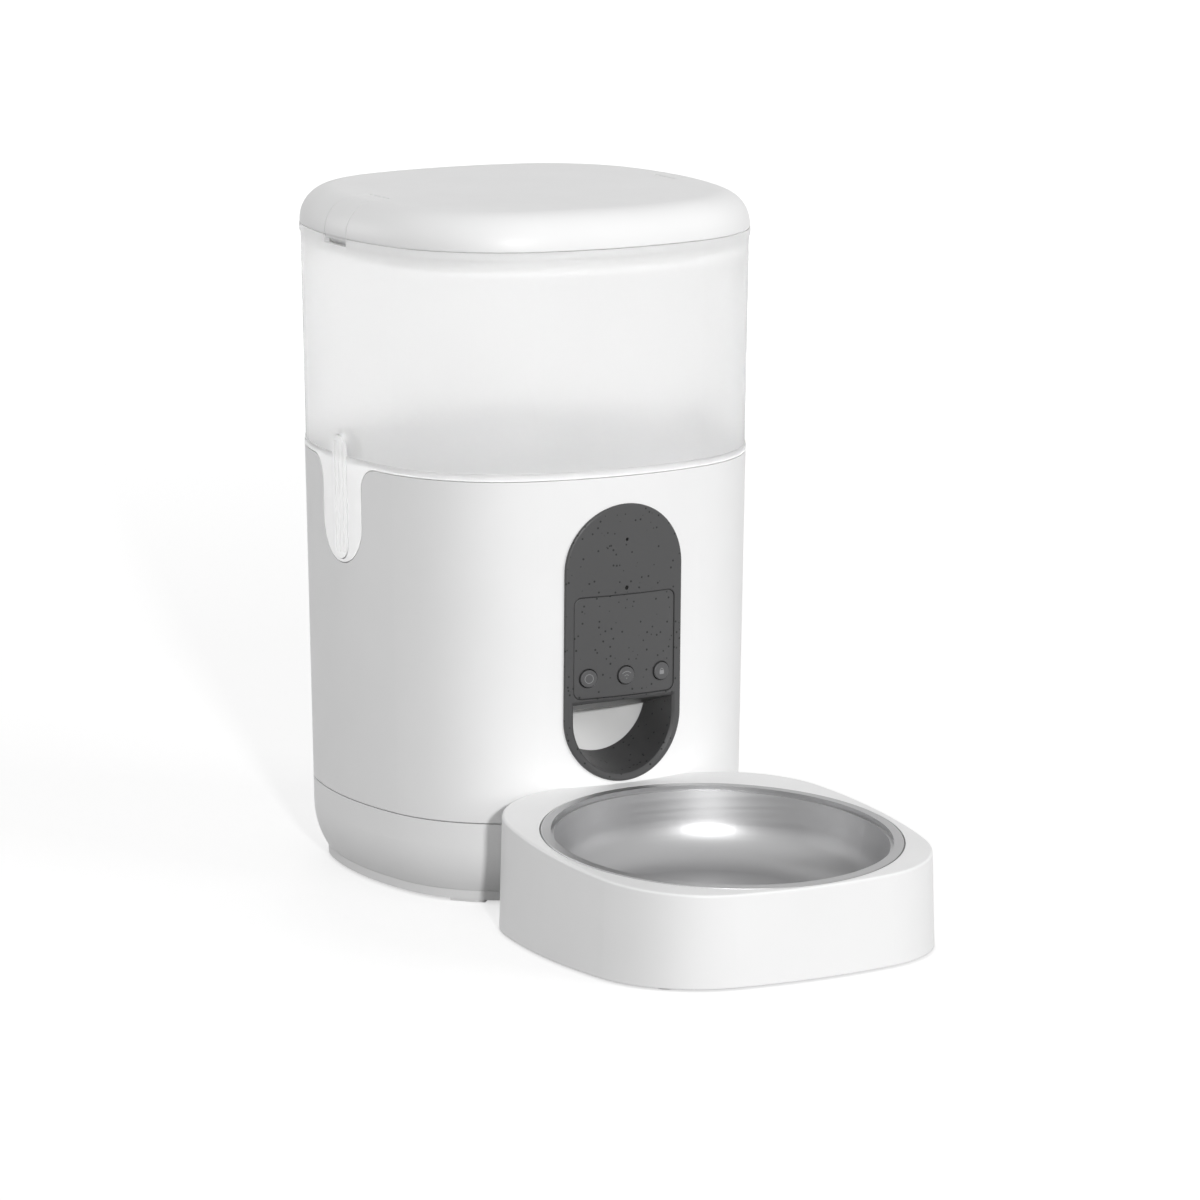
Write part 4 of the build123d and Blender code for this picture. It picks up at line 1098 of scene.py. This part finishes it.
@dataclass
class PowerInlet:
    """Contact tongue inside the power socket at the back."""

    set_back: float = 0.9 * MM
    tongue_width: float = 6.2 * MM
    tongue_thick: float = 0.7 * MM
    tongue_long: float = 5.6 * MM
    tongue_round: float = 0.22 * MM
    contact_count: int = 8
    contact_row: float = 0.86
    contact_back: float = 0.5 * MM
    contact_width: float = 0.28 * MM
    contact_long: float = 3.6 * MM
    contact_thick: float = 0.08 * MM
    contact_round: float = 0.1 * MM

    def tongue(self, front: float, z: float) -> Piece:
        """Model the tongue, its front edges rounded.

        Args:
            front: Where it ends, towards the back of the feeder.
            z: Height of its middle.

        Returns:
            The tongue.
        """
        tongue = Bench.start("inlet_tongue", bpy.ops.mesh.primitive_cube_add,
                             (self.tongue_width, self.tongue_long, self.tongue_thick),
                             size=1, location=(0, front - self.tongue_long / 2, z))
        Bench.edit(tongue, Pick.EDGE)
        Bench.pick(tongue, Pick.EDGE, lambda a, b: min(a.y, b.y) > front - TOUCH)
        bpy.ops.mesh.bevel(offset=self.tongue_round, segments=3)
        return Bench.finish(tongue)

    def contacts(self, front: float, z: float) -> Piece:
        """Model the contacts on both faces of the tongue.

        Args:
            front: Where the tongue ends.
            z: Height of its middle.

        Returns:
            The contacts.
        """
        stretch = (self.contact_width, self.contact_long, self.contact_thick)
        pitch = self.tongue_width * self.contact_row / (self.contact_count - 1)
        y = front - self.contact_back - self.contact_long / 2
        strips = []
        for place in range(self.contact_count):
            x = (place - (self.contact_count - 1) / 2) * pitch
            for face in (-1, 1):
                strip = Bench.start("inlet_contact", bpy.ops.mesh.primitive_cube_add, stretch,
                                    size=1, location=(x, y, z + face * self.tongue_thick / 2))
                Bench.edit(strip, Pick.EDGE)
                Bench.pick(strip, Pick.EDGE, lambda a, b: abs(a.z - b.z) > self.contact_thick / 2)
                bpy.ops.mesh.bevel(offset=self.contact_round, segments=2)
                strips.append(Bench.finish(strip))
        return Bench.unite("inlet_contacts", strips)

    def build(self, wardrobe: Wardrobe) -> None:
        """Fit the tongue and its contacts.

        Args:
            wardrobe: The finishes.
        """
        low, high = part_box("power_socket")
        z = (low.z + high.z) / 2
        front = high.y - self.set_back
        tongue = self.tongue(front, z)
        wardrobe.dress(tongue, Finish.black_plastic)
        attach(tongue, "housing")
        LOG.info("inlet tongue fitted")
        contacts = self.contacts(front, z)
        wardrobe.dress(contacts, Finish.brass_part)
        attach(contacts, "housing")
        LOG.info("inlet contacts fitted")


@dataclass
class DryingSachet:
    """Soft sachet of drying beads in the lid's box, blown up as cloth."""

    clearance: float = 0.4 * MM
    sheet_gap: float = 0.6 * MM
    cells: int = 34
    model_scale: float = 10.0
    pressure: float = 4.0
    steps: int = 24
    crease: float = 80.0

    def build(self, wardrobe: Wardrobe) -> None:
        """Sew two sheets together, blow them up and lay the pillow in its box.

        Args:
            wardrobe: The finishes.
        """
        low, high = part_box("desiccant_bag")
        low += Vector((self.clearance,) * 3)
        high -= Vector((self.clearance,) * 3)
        size = (high - low) * self.model_scale
        sachet = Bench.start("drying_sachet", bpy.ops.mesh.primitive_grid_add, (size.x, size.y, 1), size=1,
                             x_subdivisions=self.cells, y_subdivisions=self.cells, location=(0, 0, 0))
        Bench.edit(sachet, Pick.FACE, everything=True)
        Bench.push((0, 0, self.sheet_gap * self.model_scale))
        bpy.ops.mesh.select_all(action="SELECT")
        bpy.ops.mesh.normals_make_consistent(inside=False)
        Bench.clear()
        self.inflate(sachet)
        self.settle(sachet, low, high)
        Bench.modify(sachet, "SUBSURF", levels=1, render_levels=1)
        Bench.finish(sachet, self.crease)
        wardrobe.dress(sachet, Finish.fabric_bag)
        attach(sachet, "lid_group")
        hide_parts("desiccant_bag")
        LOG.info("drying sachet blown up and laid in")

    def inflate(self, sachet: Piece) -> None:
        """Blow the flat sachet up with Cloth pressure, and keep the result.

        Args:
            sachet: The flat sachet.
        """
        Bench.hold(sachet)
        cloth = sachet.modifiers.new("cloth", "CLOTH")
        cloth.settings.quality = 6
        cloth.settings.mass = 0.05
        cloth.settings.tension_stiffness = 20
        cloth.settings.compression_stiffness = 20
        cloth.settings.bending_stiffness = 0.2
        cloth.settings.use_pressure = True
        cloth.settings.uniform_pressure_force = self.pressure
        cloth.settings.effector_weights.gravity = 0.0
        cloth.collision_settings.use_collision = False
        cloth.collision_settings.use_self_collision = False
        scene = bpy.context.scene
        for step in range(1, self.steps + 1):
            scene.frame_set(step)
        bpy.ops.object.modifier_apply(modifier=cloth.name)
        scene.frame_set(1)

    def settle(self, sachet: Piece, low: Vector, high: Vector) -> None:
        """Bring the blown-up sachet to its real size and place.

        Args:
            sachet: The sachet.
            low: Lowest corner of its room.
            high: Highest corner of its room.
        """
        points = [point.co.copy() for point in sachet.data.vertices]
        least = Vector([min(point[axis] for point in points) for axis in range(3)])
        most = Vector([max(point[axis] for point in points) for axis in range(3)])
        room, form = high - low, most - least
        scale = Vector([room[axis] / form[axis] for axis in range(3)])
        for point, old in zip(sachet.data.vertices, points):
            point.co = [low[axis] + (old[axis] - least[axis]) * scale[axis] for axis in range(3)]


@dataclass(frozen=True)
class Lamp:
    """Square lamp that looks at the feeder.

    Power is in watts and size in metres. Azimuth counts from the front towards the right and height over
    the horizon, in degrees. A glossy lamp is mirrored in glossy faces.
    """

    name: str
    power: float
    size: float
    azimuth: float
    height: float
    glossy: bool
    distance: float = 6.0
    aim: Place = (0, 0, 0.15)

    def hang(self) -> Piece:
        """Hang the lamp.

        Returns:
            The lamp.
        """
        light = bpy.data.lights.new(self.name, "AREA")
        light.size = self.size
        light.energy = self.power
        lamp = bpy.data.objects.new(self.name, light)
        a, e = math.radians(self.azimuth), math.radians(self.height)
        away = Vector((math.sin(a) * math.cos(e), -math.cos(a) * math.cos(e), math.sin(e)))
        lamp.location = Vector(self.aim) + away * self.distance
        lamp.rotation_euler = (-away).to_track_quat("-Z", "Y").to_euler()
        lamp.visible_glossy = self.glossy
        bpy.context.scene.collection.objects.link(lamp)
        return lamp


@dataclass
class Studio:
    """Floor, soft light and the camera at the photograph's angle."""

    camera_at: Place = (-1.3073, -2.3313, 0.6516)
    camera_look: Place = (0.478274, 0.85741, -0.190599)
    lens: float = 185.56
    sky: float = 0.496
    sky_seen: float = 0.8
    lamps: tuple[Lamp, ...] = (
        Lamp("key", 170.0, 0.3, -19.5, 16.0, True),
        Lamp("fill", 122.0, 2.4, 34.0, 15.0, False),
        Lamp("edge", 60.0, 2.4, -140.0, 11.0, True),
        Lamp("back", 65.0, 2.4, 150.0, 15.0, False),
    )
    tank_lamp: Lamp = Lamp("tank", 150.0, 2.4, -80.0, 20.0, False)
    tank_nodes: tuple[str, ...] = ("tank", "tank_catch_left", "tank_catch_right")
    floor_size: float = 60.0
    floor_tone: float = 0.2
    floor_seen: float = 0.52
    floor_lift: float = 0.6
    floor_far: float = 0.76
    floor_fade: Span = (0.6, 2.4)

    def light(self) -> None:
        """Hang the lamps. The last one brings out the see-through tank, and lights nothing else."""
        for lamp in self.lamps:
            lamp.hang()
        lit = bpy.data.collections.new("lit_tank")
        for name in self.tank_nodes:
            lit.objects.link(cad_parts[name])
        self.tank_lamp.hang().light_linking.receiver_collection = lit

    def camera(self) -> None:
        """Set the camera where the photograph was taken."""
        data = bpy.data.cameras.new("camera")
        data.sensor_width = 36.0
        data.lens = self.lens
        data.clip_end = 100.0
        camera = bpy.data.objects.new("camera", data)
        camera.location = self.camera_at
        camera.rotation_euler = Vector(self.camera_look).to_track_quat("-Z", "Y").to_euler()
        bpy.context.scene.collection.objects.link(camera)
        bpy.context.scene.camera = camera

    def paper(self) -> Material:
        """Make the floor's pale paper, which is open from below.

        Returns:
            The material.
        """
        paper = bpy.data.materials.new("floor_paper")
        paper.use_nodes = True
        board = Board(paper.node_tree)
        _, seen = board.sight()
        tone = board.spread(seen, self.floor_tone, self.floor_seen, 0.0, 1.0)
        matt = board.wire(board.add("ShaderNodeBsdfDiffuse"), color=tone)
        lift = board.spread(board.reach(board.coords()), self.floor_lift, self.floor_far, *self.floor_fade)
        glow = board.wire(board.add("ShaderNodeEmission"), strength=board.sums("MULTIPLY", seen, lift))
        both = board.add("ShaderNodeAddShader")
        board.join(matt.outputs["BSDF"], both.inputs[0])
        board.join(glow.outputs["Emission"], both.inputs[1])
        below = board.add("ShaderNodeNewGeometry").outputs["Backfacing"]
        sided = board.wire(board.add("ShaderNodeMixShader"), fac=below)
        board.join(both.outputs["Shader"], sided.inputs[1])
        board.join(board.add("ShaderNodeBsdfTransparent").outputs["BSDF"], sided.inputs[2])
        board.wire(board.add("ShaderNodeOutputMaterial"), surface=sided.outputs["Shader"])
        return paper

    def floor(self) -> None:
        """Lay a wide pale floor that keeps the feeder's shadow."""
        floor = Bench.start("floor", bpy.ops.mesh.primitive_plane_add, size=self.floor_size,
                            location=(0, 0, 0))
        floor.data.materials.append(self.paper())

    def world(self) -> None:
        """Light the room evenly; the camera sees it white, gloss and glass see it pale."""
        world = bpy.data.worlds.new("room")
        bpy.context.scene.world = world
        world.use_nodes = True
        board = Board(world.node_tree)
        direct, seen = board.sight()
        level = board.spread(seen, self.sky, self.sky_seen, 0.0, 1.0)
        strength = board.sums("MAXIMUM", level, direct)
        room = board.wire(board.add("ShaderNodeBackground"), color=(1, 1, 1, 1), strength=strength)
        board.wire(board.add("ShaderNodeOutputWorld"), surface=room.outputs["Background"])

    def build(self) -> None:
        """Set the studio up."""
        bpy.context.scene.view_settings.view_transform = "Standard"
        self.camera()
        self.floor()
        self.world()
        self.light()
        LOG.info("studio set up")


def main() -> None:
    """Build and dress the feeder in order."""
    logging.basicConfig(level=logging.INFO, format="%(name)s: %(message)s")
    Studio().build()
    wardrobe = Wardrobe()
    for name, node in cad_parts.items():
        wardrobe.dress_node(name, node)
    Housing().build(wardrobe)
    FrontPanel().build(wardrobe)
    PowerInlet().build(wardrobe)
    DryingSachet().build(wardrobe)


if __name__ == "__main__":
    main()
